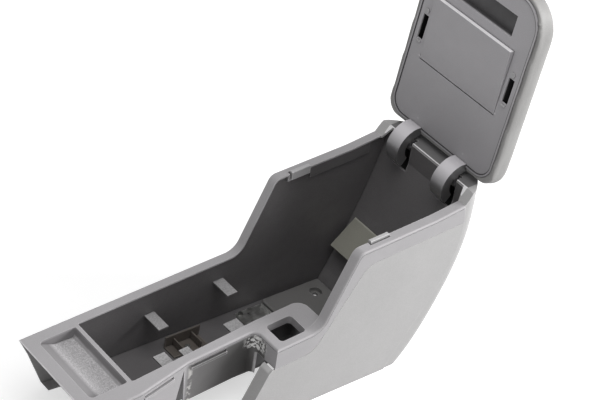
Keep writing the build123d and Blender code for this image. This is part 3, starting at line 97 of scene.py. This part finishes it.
class Surface:
    """A material with a Principled shader and helpers for its nodes."""

    def __init__(self, name, colour, roughness=0.5, metallic=0.0, specular=0.5):
        self.mat = bpy.data.materials.new(name)
        self.mat.use_nodes = True
        self.nodes = self.mat.node_tree.nodes
        self.links = self.mat.node_tree.links
        self.shader = self.nodes["Principled BSDF"]
        self.shader.inputs["Base Color"].default_value = colour
        self.shader.inputs["Roughness"].default_value = roughness
        self.shader.inputs["Metallic"].default_value = metallic
        self.shader.inputs["Specular IOR Level"].default_value = specular
        coordinates = self.nodes.new("ShaderNodeTexCoord")
        self.place = coordinates.outputs["Object"]
        self.normal = coordinates.outputs["Normal"]
        self.height = None

    def noise(self, scale, detail=2.0, stretch=None):
        """Cloudy noise from about 0.3 to 0.7, stretched along axes where stretch is given."""
        source = self.place
        if stretch:
            mapping = self.nodes.new("ShaderNodeMapping")
            mapping.inputs["Scale"].default_value = stretch
            self.links.new(self.place, mapping.inputs["Vector"])
            source = mapping.outputs["Vector"]
        node = self.nodes.new("ShaderNodeTexNoise")
        node.inputs["Scale"].default_value = scale
        node.inputs["Detail"].default_value = detail
        self.links.new(source, node.inputs["Vector"])
        return node.outputs["Fac"]

    def cells(self, scale, feature="F1"):
        """Distance inside small rounded cells, or to their edges."""
        node = self.nodes.new("ShaderNodeTexVoronoi")
        node.feature = feature
        node.inputs["Scale"].default_value = scale
        self.links.new(self.place, node.inputs["Vector"])
        return node.outputs["Distance"]

    def ramp(self, value, stops):
        """Colours set out along a value."""
        node = self.nodes.new("ShaderNodeValToRGB")
        node.color_ramp.elements[0].position = stops[0][0]
        node.color_ramp.elements[0].color = stops[0][1]
        node.color_ramp.elements[1].position = stops[-1][0]
        node.color_ramp.elements[1].color = stops[-1][1]
        for place, colour in stops[1:-1]:
            node.color_ramp.elements.new(place).color = colour
        self.links.new(value, node.inputs["Fac"])
        return node.outputs["Color"]

    def span(self, value, low, high, out_low, out_high):
        """Carries a value from one range to another, held at its ends."""
        node = self.nodes.new("ShaderNodeMapRange")
        node.inputs["From Min"].default_value = low
        node.inputs["From Max"].default_value = high
        node.inputs["To Min"].default_value = out_low
        node.inputs["To Max"].default_value = out_high
        self.links.new(value, node.inputs["Value"])
        return node.outputs["Result"]

    def mix(self, factor, a, b):
        """Colour a going over into colour b as the factor rises."""
        node = self.nodes.new("ShaderNodeMix")
        node.data_type = "RGBA"
        for socket, value in ((node.inputs[0], factor), (node.inputs[6], a), (node.inputs[7], b)):
            if hasattr(value, "links"):
                self.links.new(value, socket)
            else:
                socket.default_value = value
        return node.outputs[2]

    def colour(self, socket):
        self.links.new(socket, self.shader.inputs["Base Color"])

    def rough(self, socket):
        self.links.new(socket, self.shader.inputs["Roughness"])

    def bump(self, value, depth, strength=1.0):
        """Lays relief of so many metres over any relief already there."""
        node = self.nodes.new("ShaderNodeBump")
        node.inputs["Distance"].default_value = depth
        node.inputs["Strength"].default_value = strength
        self.links.new(value, node.inputs["Height"])
        if self.height is not None:
            self.links.new(self.height, node.inputs["Normal"])
        self.height = node.outputs["Normal"]
        self.links.new(self.height, self.shader.inputs["Normal"])

    def near_walls(self, reach, inside=False):
        """Openness of a place: low in seams and corners, or low along outer edges when inside is set."""
        node = self.nodes.new("ShaderNodeAmbientOcclusion")
        node.samples = 8
        node.inside = inside
        node.only_local = inside
        node.inputs["Distance"].default_value = reach
        return node.outputs["AO"]

    def along(self, origin, direction):
        """Distance in metres from a plane through origin, counted along direction."""
        dot = self.nodes.new("ShaderNodeVectorMath")
        dot.operation = "DOT_PRODUCT"
        dot.inputs[1].default_value = direction
        self.links.new(self.place, dot.inputs[0])
        return self.calc("SUBTRACT", dot.outputs["Value"], Vector(origin).dot(Vector(direction)))

    def away(self, point):
        """Distance in metres from a point."""
        node = self.nodes.new("ShaderNodeVectorMath")
        node.operation = "DISTANCE"
        node.inputs[1].default_value = point
        self.links.new(self.place, node.inputs[0])
        return node.outputs["Value"]

    def facing(self, axis):
        """How far a face looks along an axis of the frame at rest, from -1 to 1."""
        split = self.nodes.new("ShaderNodeSeparateXYZ")
        self.links.new(self.normal, split.inputs[0])
        return split.outputs[axis]

    def within(self, value, low, high, soft=0.0005):
        """1 between two limits, 0 outside them."""
        above = self.span(value, low - soft, low + soft, 0, 1)
        return self.all_of(above, self.span(value, high - soft, high + soft, 1, 0))

    def all_of(self, *masks):
        """The place where every mask holds."""
        joined = masks[0]
        for mask in masks[1:]:
            joined = self.calc("MULTIPLY", joined, mask)
        return joined

    def calc(self, operation, a, b=0):
        node = self.nodes.new("ShaderNodeMath")
        node.operation = operation
        for socket, value in zip(node.inputs, (a, b)):
            if hasattr(value, "links"):
                self.links.new(value, socket)
            else:
                socket.default_value = value
        return node.outputs[0]


# Painted highlight along outer edges and painted shade in seams and corners: how far each reaches, in metres,
# and by how many steps each lightens or darkens
EDGE_HIGHLIGHT_REACH, EDGE_HIGHLIGHT_LIFT = 0.0026, 62
SEAM_REACH, SEAM_SHADE = 0.005, -95
COAT_ROUGHNESS, COAT_IOR = 0.36, 1.8


def grained_plastic(
    name, rgb, grain=1300, depth=0.00006, roughness=0.5, edge_highlight=0.5, blotch=4, coat=0.0, below=None, above=None
):
    """Moulded plastic with a fine spark-eroded grain, slight colour drift, painted shade in seams and corners
    and a patchy painted highlight along outer edges.

    Marks of one piece alone go below the painted edge highlight and seam shade, or above them.
    """
    s = Surface(name, tone(*rgb), roughness)
    drift = s.ramp(s.noise(9, 3), [(0.3, shade(rgb, -blotch)), (0.7, shade(rgb, blotch))])
    speck = s.ramp(s.noise(grain * 0.7, 1), [(0.35, shade(rgb, -blotch - 3)), (0.65, shade(rgb, blotch + 2))])
    body = s.mix(0.5, drift, speck)
    if below:
        body = below(s, body)
    # Patchy painted highlight along outer edges
    painted_lift = s.span(s.near_walls(EDGE_HIGHLIGHT_REACH, inside=True), 0.3, 0.72, edge_highlight, 0.0)
    patchy_edge_highlight = s.all_of(painted_lift, s.span(s.noise(45, 3), 0.35, 0.6, 0.5, 1.0))
    body = s.mix(patchy_edge_highlight, body, shade(rgb, EDGE_HIGHLIGHT_LIFT))
    # Painted shade in seams and corners
    seam_painted_shade = s.span(s.near_walls(SEAM_REACH), 0.25, 0.8, 0.62, 0.0)
    body = s.mix(seam_painted_shade, body, shade(rgb, SEAM_SHADE))
    s.colour(above(s, body) if above else body)
    s.rough(s.span(s.noise(60, 3), 0.3, 0.7, roughness - 0.06, roughness + 0.08))
    s.bump(s.cells(grain), depth, 0.6)
    s.bump(s.noise(grain * 0.25, 2), depth * 2, 0.35)
    if coat:
        s.shader.inputs["Coat Weight"].default_value = coat
        s.shader.inputs["Coat Roughness"].default_value = COAT_ROUGHNESS
        s.shader.inputs["Coat IOR"].default_value = COAT_IOR
    return s.mat


def rail_place(s):
    """Where a point lies in rail axes, in metres: back, across and up."""
    origin = standing(0, 0, 0)
    return s.along(origin, rail_back), s.along(origin, (0, 1, 0)), s.along(origin, rail_up)


# Hand lever recess, in metres: its inner side from the V gap to its rear, and the scraped corner
RECESS_FRONT, RECESS_REAR = 0.171, 0.300
RECESS_SCRAPE = standing(291, -60, -17)
# Tray in the deck, in metres
TRAY_BACK = (0.0205, 0.0815)
TRAY_ACROSS = (-0.047, 0.0885)


def frame_marks_and_painted_light(s, body):
    """Scraped patches in the hand lever recess, painted shadow on its inner side, painted shade on the tray's
    walls, and pale dust on the tray's floor, partly painted light.
    """
    back, across, level = rail_place(s)
    # Painted shadow on the inner side of the recess, darker towards its rear
    side = s.all_of(
        s.within(back, RECESS_FRONT, RECESS_REAR, 0.004),
        s.within(across, -0.078, -0.040),
        s.within(level, -0.2, -0.0065, 0.003),
    )
    recess_painted_shadow = s.all_of(side, s.span(back, 0.17, 0.25, 0.75, 0.95))
    body = s.mix(recess_painted_shadow, body, tone(70, 69, 68))
    # Ragged pale line beside the V gap
    gap = s.all_of(s.within(back, 0.174, 0.181, 0.002), side, s.span(s.noise(140, 6), 0.45, 0.55, 0, 1))
    body = s.mix(gap, body, tone(178, 176, 174))
    # Scraped arc under the corner of the switch plate
    scrape = s.all_of(
        s.span(s.away(RECESS_SCRAPE), 0.013, 0.024, 1, 0),
        s.within(level, -0.030, -0.005, 0.0015),
        s.span(s.noise(230, 6), 0.48, 0.54, 0.0, 1.0),
    )
    body = s.mix(scrape, body, tone(222, 221, 220))
    # Tray: painted shade on its walls, and pale dust on its floor, which also paints light over the shade its
    # walls cast
    tray = s.all_of(s.within(back, *TRAY_BACK), s.within(across, *TRAY_ACROSS))
    walls = s.all_of(tray, s.within(level, -0.026, -0.003, 0.0015))
    body = s.mix(s.all_of(walls, 0.45), body, tone(84, 82, 83))
    flat = s.span(s.facing("Z"), 0.6, 0.9, 0, 1)
    dust = s.span(s.noise(560, 5), 0.34, 0.66, 0.25, 0.85)
    # Pale dust on the floor's upward faces, partly painted light that lifts the floor out of its walls' shade
    dust_and_painted_light = s.all_of(tray, s.within(level, -0.026, -0.0125, 0.002), flat, dust)
    return s.mix(dust_and_painted_light, body, tone(216, 214, 216))


def shelf_top_highlight(s, body):
    """Painted highlight: the small shelves' upward faces are painted paler, in patches, than the tub's walls
    and floor.
    """
    back, _, level = rail_place(s)
    flat = s.span(s.facing("Z"), 0.7, 0.9, 0, 1)
    painted_lift = s.span(s.noise(460, 5), 0.35, 0.65, 0.5, 0.95)
    top = s.all_of(flat, s.within(level, -0.056, -0.012), s.within(back, 0.1, 0.4), painted_lift)
    return s.mix(top, body, tone(172, 171, 172))


# Rear rim between the arms, in metres
RIM_FRONT, RIM_EDGE_REAR, RIM_REAR = 0.60, 0.6352, 0.70


def rear_rim_light_and_shade(s, body):
    """Painted light on the rear rim between the arms: a painted highlight on its front edge and the lid's
    painted shadow on its top behind it.
    """
    back, across, level = rail_place(s)
    top = s.all_of(s.within(level, 0.128, 0.2), s.within(across, -0.086, 0.086))
    # Painted shadow of the lid on the rim's upward top behind its front edge
    rim_painted_shadow = s.all_of(top, s.within(back, RIM_FRONT, RIM_REAR), s.span(s.facing("Z"), 0.5, 0.8, 0, 0.75))
    body = s.mix(rim_painted_shadow, body, tone(74, 73, 74))
    # Painted highlight along the rim's front edge
    edge = s.all_of(
        top, s.within(back, RIM_FRONT, RIM_EDGE_REAR, 0.0004), s.span(s.facing("Z"), 0.2, 0.5, 0, 0.9)
    )
    return s.mix(edge, body, tone(236, 235, 236))


def arm_painted_light(s, body):
    """Painted light on an arm: upward faces painted pale as a highlight, its lower end and flat sides painted
    dark as shade, over its glossy plastic.
    """
    # Painted highlight on upward faces, painted shade on faces that look down
    arm_facing_light = s.ramp(
        s.facing("Z"), [(0.0, tone(84, 83, 84)), (0.3, tone(116, 114, 117)), (0.75, tone(196, 193, 197))]
    )
    # Painted shade on the flat sides
    side = s.span(s.calc("ABSOLUTE", s.facing("Y")), 0.6, 0.85, 0, 1)
    return s.mix(side, s.mix(0.85, body, arm_facing_light), tone(76, 75, 76))


# Underside trim of the lid, in metres: its half width, the middle and half of its height, its
# corners' radius at the foot and what the upper corners have more
TRIM_HALF, TRIM_MIDDLE, TRIM_REACH = 0.1032, 0.137, 0.1402
TRIM_CORNER, TRIM_CORNER_MORE = 0.023, 0.018
# The compartment door's free end, whose end face gets a painted highlight
DOOR_END = 0.2


def beyond_trim(s, u, y):
    """How far a point of the lid lies outside the trim's rounded outline; less than 0 inside it."""
    upper = s.calc("GREATER_THAN", u, TRIM_MIDDLE)
    radius = s.calc("ADD", TRIM_CORNER, s.calc("MULTIPLY", TRIM_CORNER_MORE, upper))
    from_middle = s.calc("ABSOLUTE", s.calc("SUBTRACT", u, TRIM_MIDDLE))
    across = s.calc("ADD", s.calc("SUBTRACT", y, TRIM_HALF), radius)
    upward = s.calc("ADD", s.calc("SUBTRACT", from_middle, TRIM_REACH), radius)
    across, upward = s.calc("MAXIMUM", across), s.calc("MAXIMUM", upward)
    square = s.calc("ADD", s.calc("MULTIPLY", across, across), s.calc("MULTIPLY", upward, upward))
    return s.calc("SUBTRACT", s.calc("POWER", square, 0.5), radius)


def lid_shade_and_highlight(s, body):
    """Painted shade on the lid's face, darker near its foot and darker still in the pockets behind it, a dark
    line round the underside trim, and a painted highlight on the door's end face.
    """
    w = s.along(on_lid(0, 0, 0), lid_back)
    u = s.along(on_lid(0, 0, 0), lid_up)
    y = s.calc("ABSOLUTE", s.along((0, 0, 0), (0, 1, 0)))
    # Painted shade: darker towards the lid's foot
    body = s.mix(s.span(u, -0.01, 0.15, 0.5, 0.0), body, tone(104, 102, 105))
    # Painted shade: deeper than 3 mm behind the face, pockets and slots are painted dark
    body = s.mix(s.span(w, 0.003, 0.006, 0.0, 0.94), body, tone(50, 49, 50))
    # Line round the underside trim
    outside = beyond_trim(s, u, y)
    line = s.all_of(s.span(outside, -0.0009, -0.0004, 0, 0.85), s.span(outside, 0.0009, 0.0014, 1, 0))
    body = s.mix(line, body, tone(52, 51, 52))
    # Painted highlight on the compartment door's end face
    door_end_highlight = s.all_of(s.span(w, -0.0006, -0.0002, 1, 0), s.span(u, DOOR_END - 0.0004, DOOR_END, 0, 1))
    return s.mix(door_end_highlight, body, tone(236, 234, 236))


def brushed_metal(name, rgb, roughness=0.35):
    """Steel with fine streaks along the part."""
    s = Surface(name, tone(*rgb), roughness, metallic=1.0)
    streak = s.noise(300, 2, (0.15, 4, 4))
    s.colour(s.ramp(streak, [(0.3, shade(rgb, -22)), (0.7, shade(rgb, 14))]))
    s.rough(s.span(s.noise(90, 3), 0.3, 0.7, roughness - 0.08, roughness + 0.12))
    s.bump(streak, 0.00003, 0.5)
    return s.mat


def vinyl(name, rgb):
    """Soft padded vinyl: fine leather grain, faint creases, satin sheen."""
    s = Surface(name, tone(*rgb), 0.58, specular=0.3)
    pebble = s.cells(520)
    crease = s.cells(210, "DISTANCE_TO_EDGE")
    tint = s.ramp(s.noise(14, 4), [(0.3, shade(rgb, -5)), (0.7, shade(rgb, 4))])
    pits = s.ramp(pebble, [(0.0, shade(rgb, -12)), (0.5, shade(rgb, 3))])
    s.colour(s.mix(0.35, tint, pits))
    s.rough(s.span(s.noise(40, 3), 0.3, 0.7, 0.52, 0.64))
    s.bump(pebble, 0.00022, 0.55)
    s.bump(crease, 0.00012, 0.3)
    s.shader.inputs["Sheen Weight"].default_value = 0.04
    return s.mat


looks = {
    "frame_grey": grained_plastic("frame_grey", (160, 158, 160), 1400, edge_highlight=0.8, below=frame_marks_and_painted_light),
    "panel_grey": grained_plastic("panel_grey", (167, 166, 166), 1100, 0.00008, below=rear_rim_light_and_shade),
    # The liner is painted darker than the frame: painted shade for the tub's shaded inside
    "liner_dark": grained_plastic("liner_dark", (96, 94, 95), 1200, 0.00005, 0.5, 0.9, below=shelf_top_highlight),
    "floor_grey": grained_plastic("floor_grey", (106, 105, 104), 1500, 0.00004, 0.5, 0.6),
    "duct_green": grained_plastic("duct_green", (130, 129, 120), 1500, 0.00004, 0.5, 0.5),
    "bracket_brown": grained_plastic("bracket_brown", (76, 70, 65), 1500, 0.00004, 0.5, 0.5),
    "clip_metal": brushed_metal("clip_metal", (196, 196, 194)),
    "screw_steel": brushed_metal("screw_steel", (150, 150, 148)),
    "block_grey": grained_plastic("block_grey", (176, 175, 176), 1500, 0.00004, 0.35, 0.6),
    "pin_steel": brushed_metal("pin_steel", (186, 186, 184), 0.22),
    "hinge_black": grained_plastic("hinge_black", (52, 52, 52), 1800, 0.00003, 0.4, 0.3),
    "arm_gloss": grained_plastic(
        "arm_gloss", (148, 146, 149), 2200, 0.00001, 0.36, 0.25, 3, coat=1.0, below=arm_painted_light
    ),
    "lid_grey": grained_plastic("lid_grey", (172, 170, 173), 1400, 0.00006, 0.5, 0.5, above=lid_shade_and_highlight),
    "pad_vinyl": vinyl("pad_vinyl", (142, 141, 140)),
    "bumper_rubber": grained_plastic("bumper_rubber", (150, 149, 150), 1600, 0.00003, 0.5, 0.4),
}

slots = {entry["node"]: entry["material_slot"] for entry in frame["record"]["subparts"]}
for name, piece in frame["nodes"].items():
    piece.data.materials.clear()
    piece.data.materials.append(looks[slots[name]])


# Padded armrest, in millimetres and in the lid's own directions: u up from the foot, y across,
# w towards the back. The lip has the corners of the solid pad, and the sides above it have their own.
PAD_LOW, PAD_HIGH, PAD_HALF = -14.0, 288.0, 114.0
LOW_CORNER, HIGH_CORNER = 22.0, 56.0
LIP_CORNER_LOW, LIP_CORNER_HIGH = 34.0, 52.0
LIP_DEPTH = 7.0
# How the outline changes above the lip: all round, out at the foot, in at the top of the back
SHRINK = 1.6
FOOT_OUT = 4
TOP_BACK = 10
LOW_CORNER_MORE, HIGH_CORNER_MORE = 8, 18
# How much of its thickness the pad loses at its foot and its top
THIN_FOOT, THIN_TOP = 0.08, 0.14
THIN_FOOT_FROM, THIN_FOOT_SPAN = 30, 44
THIN_TOP_FROM, THIN_TOP_SPAN = 235, 53
SIDE_START = 12
# Smallest corner radius of a ring
CORNER_MIN = 6
# The arms go into the lid's foot, above which height the pad gives way to them
ARM_CENTRE, ARM_HALF, ARM_TOP, ARM_U = 49.5, 13.2, 9.4, -2
MIDDLE_U = 137
# Points lower than this stay where they are while the cover is blown up
HELD_BELOW = 6.5
# The underside further in than the lip by this much is cut away
UNDERSIDE_MARGIN = 1.2

# Cover blown up by cloth: grid and cap in metres
VOXEL = 0.004
PUFF_CAP = 0.005
PRESSURE = 4
FRAMES = 20
STIFFNESS, BENDING = 20, 4
CLOTH_QUALITY, CLOTH_MASS = 6, 0.3
SMOOTH_STEPS = 10


def ease(value):
    """Goes smoothly from 0 to 1, held outside."""
    value = min(max(value, 0.0), 1.0)
    return value * value * (3 - 2 * value)


def outline_ring(inset, w, per_corner=10, per_side=9):
    """One closed ring of the pad: rounder and shorter towards its back, thinner towards both ends."""
    side = ease((w - 8) / 10)
    back = ease((w - 31) / 18)
    lip = min(inset / LIP_DEPTH, 1) if w < 3 or inset == LIP_DEPTH else 0
    small = SHRINK * ease((w - 5) / 8)
    inset = inset + small
    low, high = PAD_LOW + inset - FOOT_OUT * side, PAD_HIGH - inset - TOP_BACK * back
    half = PAD_HALF - inset
    low_r = LOW_CORNER + (LIP_CORNER_LOW - LOW_CORNER) * lip + LOW_CORNER_MORE * back
    high_r = HIGH_CORNER + (LIP_CORNER_HIGH - HIGH_CORNER) * lip + HIGH_CORNER_MORE * back
    low_r, high_r = max(low_r - inset, CORNER_MIN), max(high_r - inset, CORNER_MIN)
    limit = min(half, (high - low) / 2) - 0.5
    low_r, high_r = min(low_r, limit), min(high_r, limit)
    corners = [
        (high - high_r, half - high_r, high_r, 0),
        (low + low_r, half - low_r, low_r, 90),
        (low + low_r, -half + low_r, low_r, 180),
        (high - high_r, -half + high_r, high_r, 270),
    ]
    arcs = []
    for u, y, r, start in corners:
        arc = []
        for k in range(per_corner + 1):
            a = math.radians(start + 90 * k / per_corner)
            arc.append((u + r * math.cos(a), y + r * math.sin(a)))
        arcs.append(arc)
    ring = []
    for arc, following in zip(arcs, arcs[1:] + arcs[:1]):
        ring += arc
        (u0, y0), (u1, y1) = arc[-1], following[0]
        for k in range(1, per_side):
            t = k / per_side
            ring.append((u0 + (u1 - u0) * t, y0 + (y1 - y0) * t))
    placed = []
    for u, y in ring:
        thin = THIN_FOOT * ease((THIN_FOOT_FROM - u) / THIN_FOOT_SPAN)
        thin += THIN_TOP * ease((u - THIN_TOP_FROM) / THIN_TOP_SPAN)
        depth = w - small if w < SIDE_START else SIDE_START - small + (w - SIDE_START) * (1 - thin)
        placed.append(on_lid(u, y, depth))
    return placed


def lid_place(point):
    """The other way round from on_lid: u, y and w in millimetres."""
    p = (point - on_lid(0, 0, 0)) * 1000
    return p.dot(lid_up), p.y, p.dot(lid_back)


def edge_distance(u, y):
    """How far a point lies inside the pad's outline, in millimetres."""
    du, r = (PAD_HIGH - u, LIP_CORNER_HIGH) if u > MIDDLE_U else (u - PAD_LOW, LIP_CORNER_LOW)
    dy = PAD_HALF - abs(y)
    if du < r and dy < r:
        return r - math.hypot(r - du, r - dy)
    return min(du, dy)


# Section of the pad, as insets from its outline and heights w: over the lip, up the side, over the back
pad_profile = [
    (LIP_DEPTH, LIP_DEPTH), (LIP_DEPTH, 1.6), (6.2, 0.4), (4.4, 0.0), (2.2, 0.5), (0.8, 2.4),
    (0.2, 6.0), (0.0, 11.0), (0.0, 18.0), (0.1, 25.0), (0.7, 31.0), (2.4, 36.2), (5.6, 40.2),
    (10.5, 43.2), (17.5, 45.0), (28.0, 46.2), (44.0, 47.0), (64.0, 47.5), (86.0, 47.8), (104.0, 47.9),
]
pad_mesh = bpy.data.meshes.new("armrest_pad")
shape = bmesh.new()
rings = [[shape.verts.new(p) for p in outline_ring(inset, w)] for inset, w in pad_profile]
for lower, upper in zip(rings, rings[1:]):
    count = len(lower)
    for k in range(count):
        shape.faces.new((lower[k], lower[(k + 1) % count], upper[(k + 1) % count], upper[k]))
# A closed underside, wanted only while the cover is blown up
shape.faces.new(rings[0])
shape.faces.new(list(reversed(rings[-1])))
bmesh.ops.recalc_face_normals(shape, faces=shape.faces)
shape.to_mesh(pad_mesh)
shape.free()
pad = bpy.data.objects.new("armrest_pad", pad_mesh)
scene.collection.objects.link(pad)


def bake_in(piece):
    """Puts a piece's modifiers into its mesh."""
    seen = piece.evaluated_get(bpy.context.evaluated_depsgraph_get())
    mesh = bpy.data.meshes.new_from_object(seen)
    piece.modifiers.clear()
    old = piece.data
    piece.data = mesh
    bpy.data.meshes.remove(old)


def inflate(piece, pinned):
    """Blows a padded cover up from inside with cloth.

    Each point keeps only the outward part of its move, capped and evened out over its neighbours.
    """
    grid = piece.modifiers.new("grid", "REMESH")
    grid.mode = "VOXEL"
    grid.voxel_size = VOXEL
    bake_in(piece)
    held = piece.vertex_groups.new(name="held")
    held.add([v.index for v in piece.data.vertices if pinned(v.co)], 1.0, "REPLACE")
    start = [(v.co.copy(), v.normal.copy()) for v in piece.data.vertices]
    cloth = piece.modifiers.new("cloth", "CLOTH")
    cloth.settings.quality = CLOTH_QUALITY
    cloth.settings.mass = CLOTH_MASS
    cloth.settings.tension_stiffness = STIFFNESS
    cloth.settings.compression_stiffness = STIFFNESS
    cloth.settings.bending_stiffness = BENDING
    cloth.settings.use_pressure = True
    cloth.settings.uniform_pressure_force = PRESSURE
    cloth.settings.effector_weights.gravity = 0
    cloth.settings.vertex_group_mass = "held"
    cloth.point_cache.frame_start = 1
    cloth.point_cache.frame_end = FRAMES
    for step in range(1, FRAMES + 1):
        scene.frame_set(step)
    bake_in(piece)
    scene.frame_set(1)
    near = [[] for _ in start]
    for edge in piece.data.edges:
        a, b = edge.vertices
        near[a].append(b)
        near[b].append(a)
    lifts = [
        min(max((vertex.co - before).dot(normal), 0), PUFF_CAP)
        for vertex, (before, normal) in zip(piece.data.vertices, start)
    ]
    for _ in range(SMOOTH_STEPS):
        means = [sum(lifts[k] for k in around) / len(around) for around in near]
        lifts = [(lift + mean) / 2 for lift, mean in zip(lifts, means)]
    for vertex, lift, (before, normal) in zip(piece.data.vertices, lifts, start):
        vertex.co = before if pinned(before) else before + normal * lift
    piece.vertex_groups.clear()


def held_at_lip(co):
    """Points of the lip keep their place."""
    return lid_place(co)[2] < HELD_BELOW


inflate(pad, held_at_lip)
finer = pad.modifiers.new("finer", "SUBSURF")
finer.levels = 1
bake_in(pad)
cover = bmesh.new()
cover.from_mesh(pad.data)
hidden = []
for vertex in cover.verts:
    u, y, w = lid_place(vertex.co)
    if edge_distance(u, y) > LIP_DEPTH + UNDERSIDE_MARGIN and w < SIDE_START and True:
        hidden.append(vertex)
    elif u < ARM_U and w < ARM_TOP and abs(abs(y) - ARM_CENTRE) < ARM_HALF:
        # The pad gives way where the arms enter the lid
        vertex.co = on_lid(u, y, ARM_TOP)
bmesh.ops.delete(cover, geom=hidden, context="VERTS")
for face in cover.faces:
    face.smooth = True
cover.to_mesh(pad.data)
cover.free()
pad.data.materials.clear()
pad.data.materials.append(looks["pad_vinyl"])
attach(pad, "lid")
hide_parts("lid_pad")


def as_background(nodes, links):
    """1 for what is seen directly, mirrored or through glass, 0 for the light that falls on the part."""
    paths = nodes.new("ShaderNodeLightPath")
    seen = paths.outputs["Is Camera Ray"]
    for name in ("Is Glossy Ray", "Is Transmission Ray"):
        either = nodes.new("ShaderNodeMath")
        either.operation = "MAXIMUM"
        links.new(seen, either.inputs[0])
        links.new(paths.outputs[name], either.inputs[1])
        seen = either.outputs[0]
    return seen


# Floor: pale, with the part's shadow, and near white to the camera
FLOOR_GLOW = 0.6
bpy.ops.mesh.primitive_plane_add(size=12, location=(0, 0, 0))
floor = bpy.context.object
floor.name = "studio_floor"
ground = Surface("floor_pale", tone(200, 200, 200), 0.6, specular=0.2)
ground.colour(ground.ramp(ground.noise(3, 2), [(0.3, tone(198, 198, 198)), (0.7, tone(202, 202, 202))]))
glow = ground.nodes.new("ShaderNodeEmission")
glow.inputs["Color"].default_value = (1, 1, 1, 1)
strength = ground.nodes.new("ShaderNodeMath")
strength.operation = "MULTIPLY"
strength.inputs[1].default_value = FLOOR_GLOW
ground.links.new(as_background(ground.nodes, ground.links), strength.inputs[0])
ground.links.new(strength.outputs[0], glow.inputs["Strength"])
total = ground.nodes.new("ShaderNodeAddShader")
ground.links.new(ground.shader.outputs[0], total.inputs[0])
ground.links.new(glow.outputs[0], total.inputs[1])
ground.links.new(total.outputs[0], ground.nodes["Material Output"].inputs["Surface"])
floor.data.materials.append(ground.mat)

# World: soft even light, and white to the camera
SKY_LIGHT, SKY_SEEN = 0.3, 1.0
world = bpy.data.worlds.new("studio")
scene.world = world
world.use_nodes = True
world_nodes, world_links = world.node_tree.nodes, world.node_tree.links
sky = world_nodes["Background"]
sky.inputs["Color"].default_value = (1, 1, 1, 1)
level = world_nodes.new("ShaderNodeMapRange")
level.inputs["To Min"].default_value = SKY_LIGHT
level.inputs["To Max"].default_value = SKY_SEEN
world_links.new(as_background(world_nodes, world_links), level.inputs["Value"])
world_links.new(level.outputs["Result"], sky.inputs["Strength"])


def lamp(name, place, target, size, power):
    """A square area lamp of so many watts, turned to its target."""
    light = bpy.data.lights.new(name, "AREA")
    light.shape = "RECTANGLE"
    light.size, light.size_y = size
    light.energy = power
    holder = bpy.data.objects.new(name, light)
    scene.collection.objects.link(holder)
    holder.location = place
    holder.rotation_euler = (Vector(target) - Vector(place)).to_track_quat("-Z", "Y").to_euler()


lamp("key", (2.5, -1.7, 1.5), (0.0, 0, 0.25), (1.3, 1.3), 118)
lamp("top", (-0.5, -0.6, 2.8), (0.1, 0, 0.2), (2.0, 2.0), 40)

# Camera as fitted to the photograph, in rail axes: its direction, its place in millimetres, its lens
AZIMUTH, ELEVATION, ROLL = (math.radians(a) for a in (44.1855, 38.8241, -8.7412))
CAMERA_PLACE = (-1081.958, -1512.915, 1855.350)
LENS, SENSOR = 116.85, 36
level_part = math.cos(ELEVATION)
forward = Vector((math.sin(AZIMUTH) * level_part, math.cos(AZIMUTH) * level_part, -math.sin(ELEVATION)))
right = Vector((math.cos(AZIMUTH), -math.sin(AZIMUTH), 0))
down = forward.cross(right)
right, down = (
    right * math.cos(ROLL) + down * math.sin(ROLL),
    down * math.cos(ROLL) - right * math.sin(ROLL),
)
turn = Matrix.Rotation(-RAKE, 3, "Y")
forward, right, down = turn @ forward, turn @ right, turn @ down
camera_data = bpy.data.cameras.new("camera")
camera_data.lens = LENS
camera_data.sensor_width = SENSOR
camera_data.clip_end = 50
camera = bpy.data.objects.new("camera", camera_data)
scene.collection.objects.link(camera)
placed = Matrix((right, -down, -forward)).transposed().to_4x4()
placed.translation = standing(*CAMERA_PLACE)
camera.matrix_world = placed
scene.camera = camera
scene.view_settings.view_transform = "Standard"
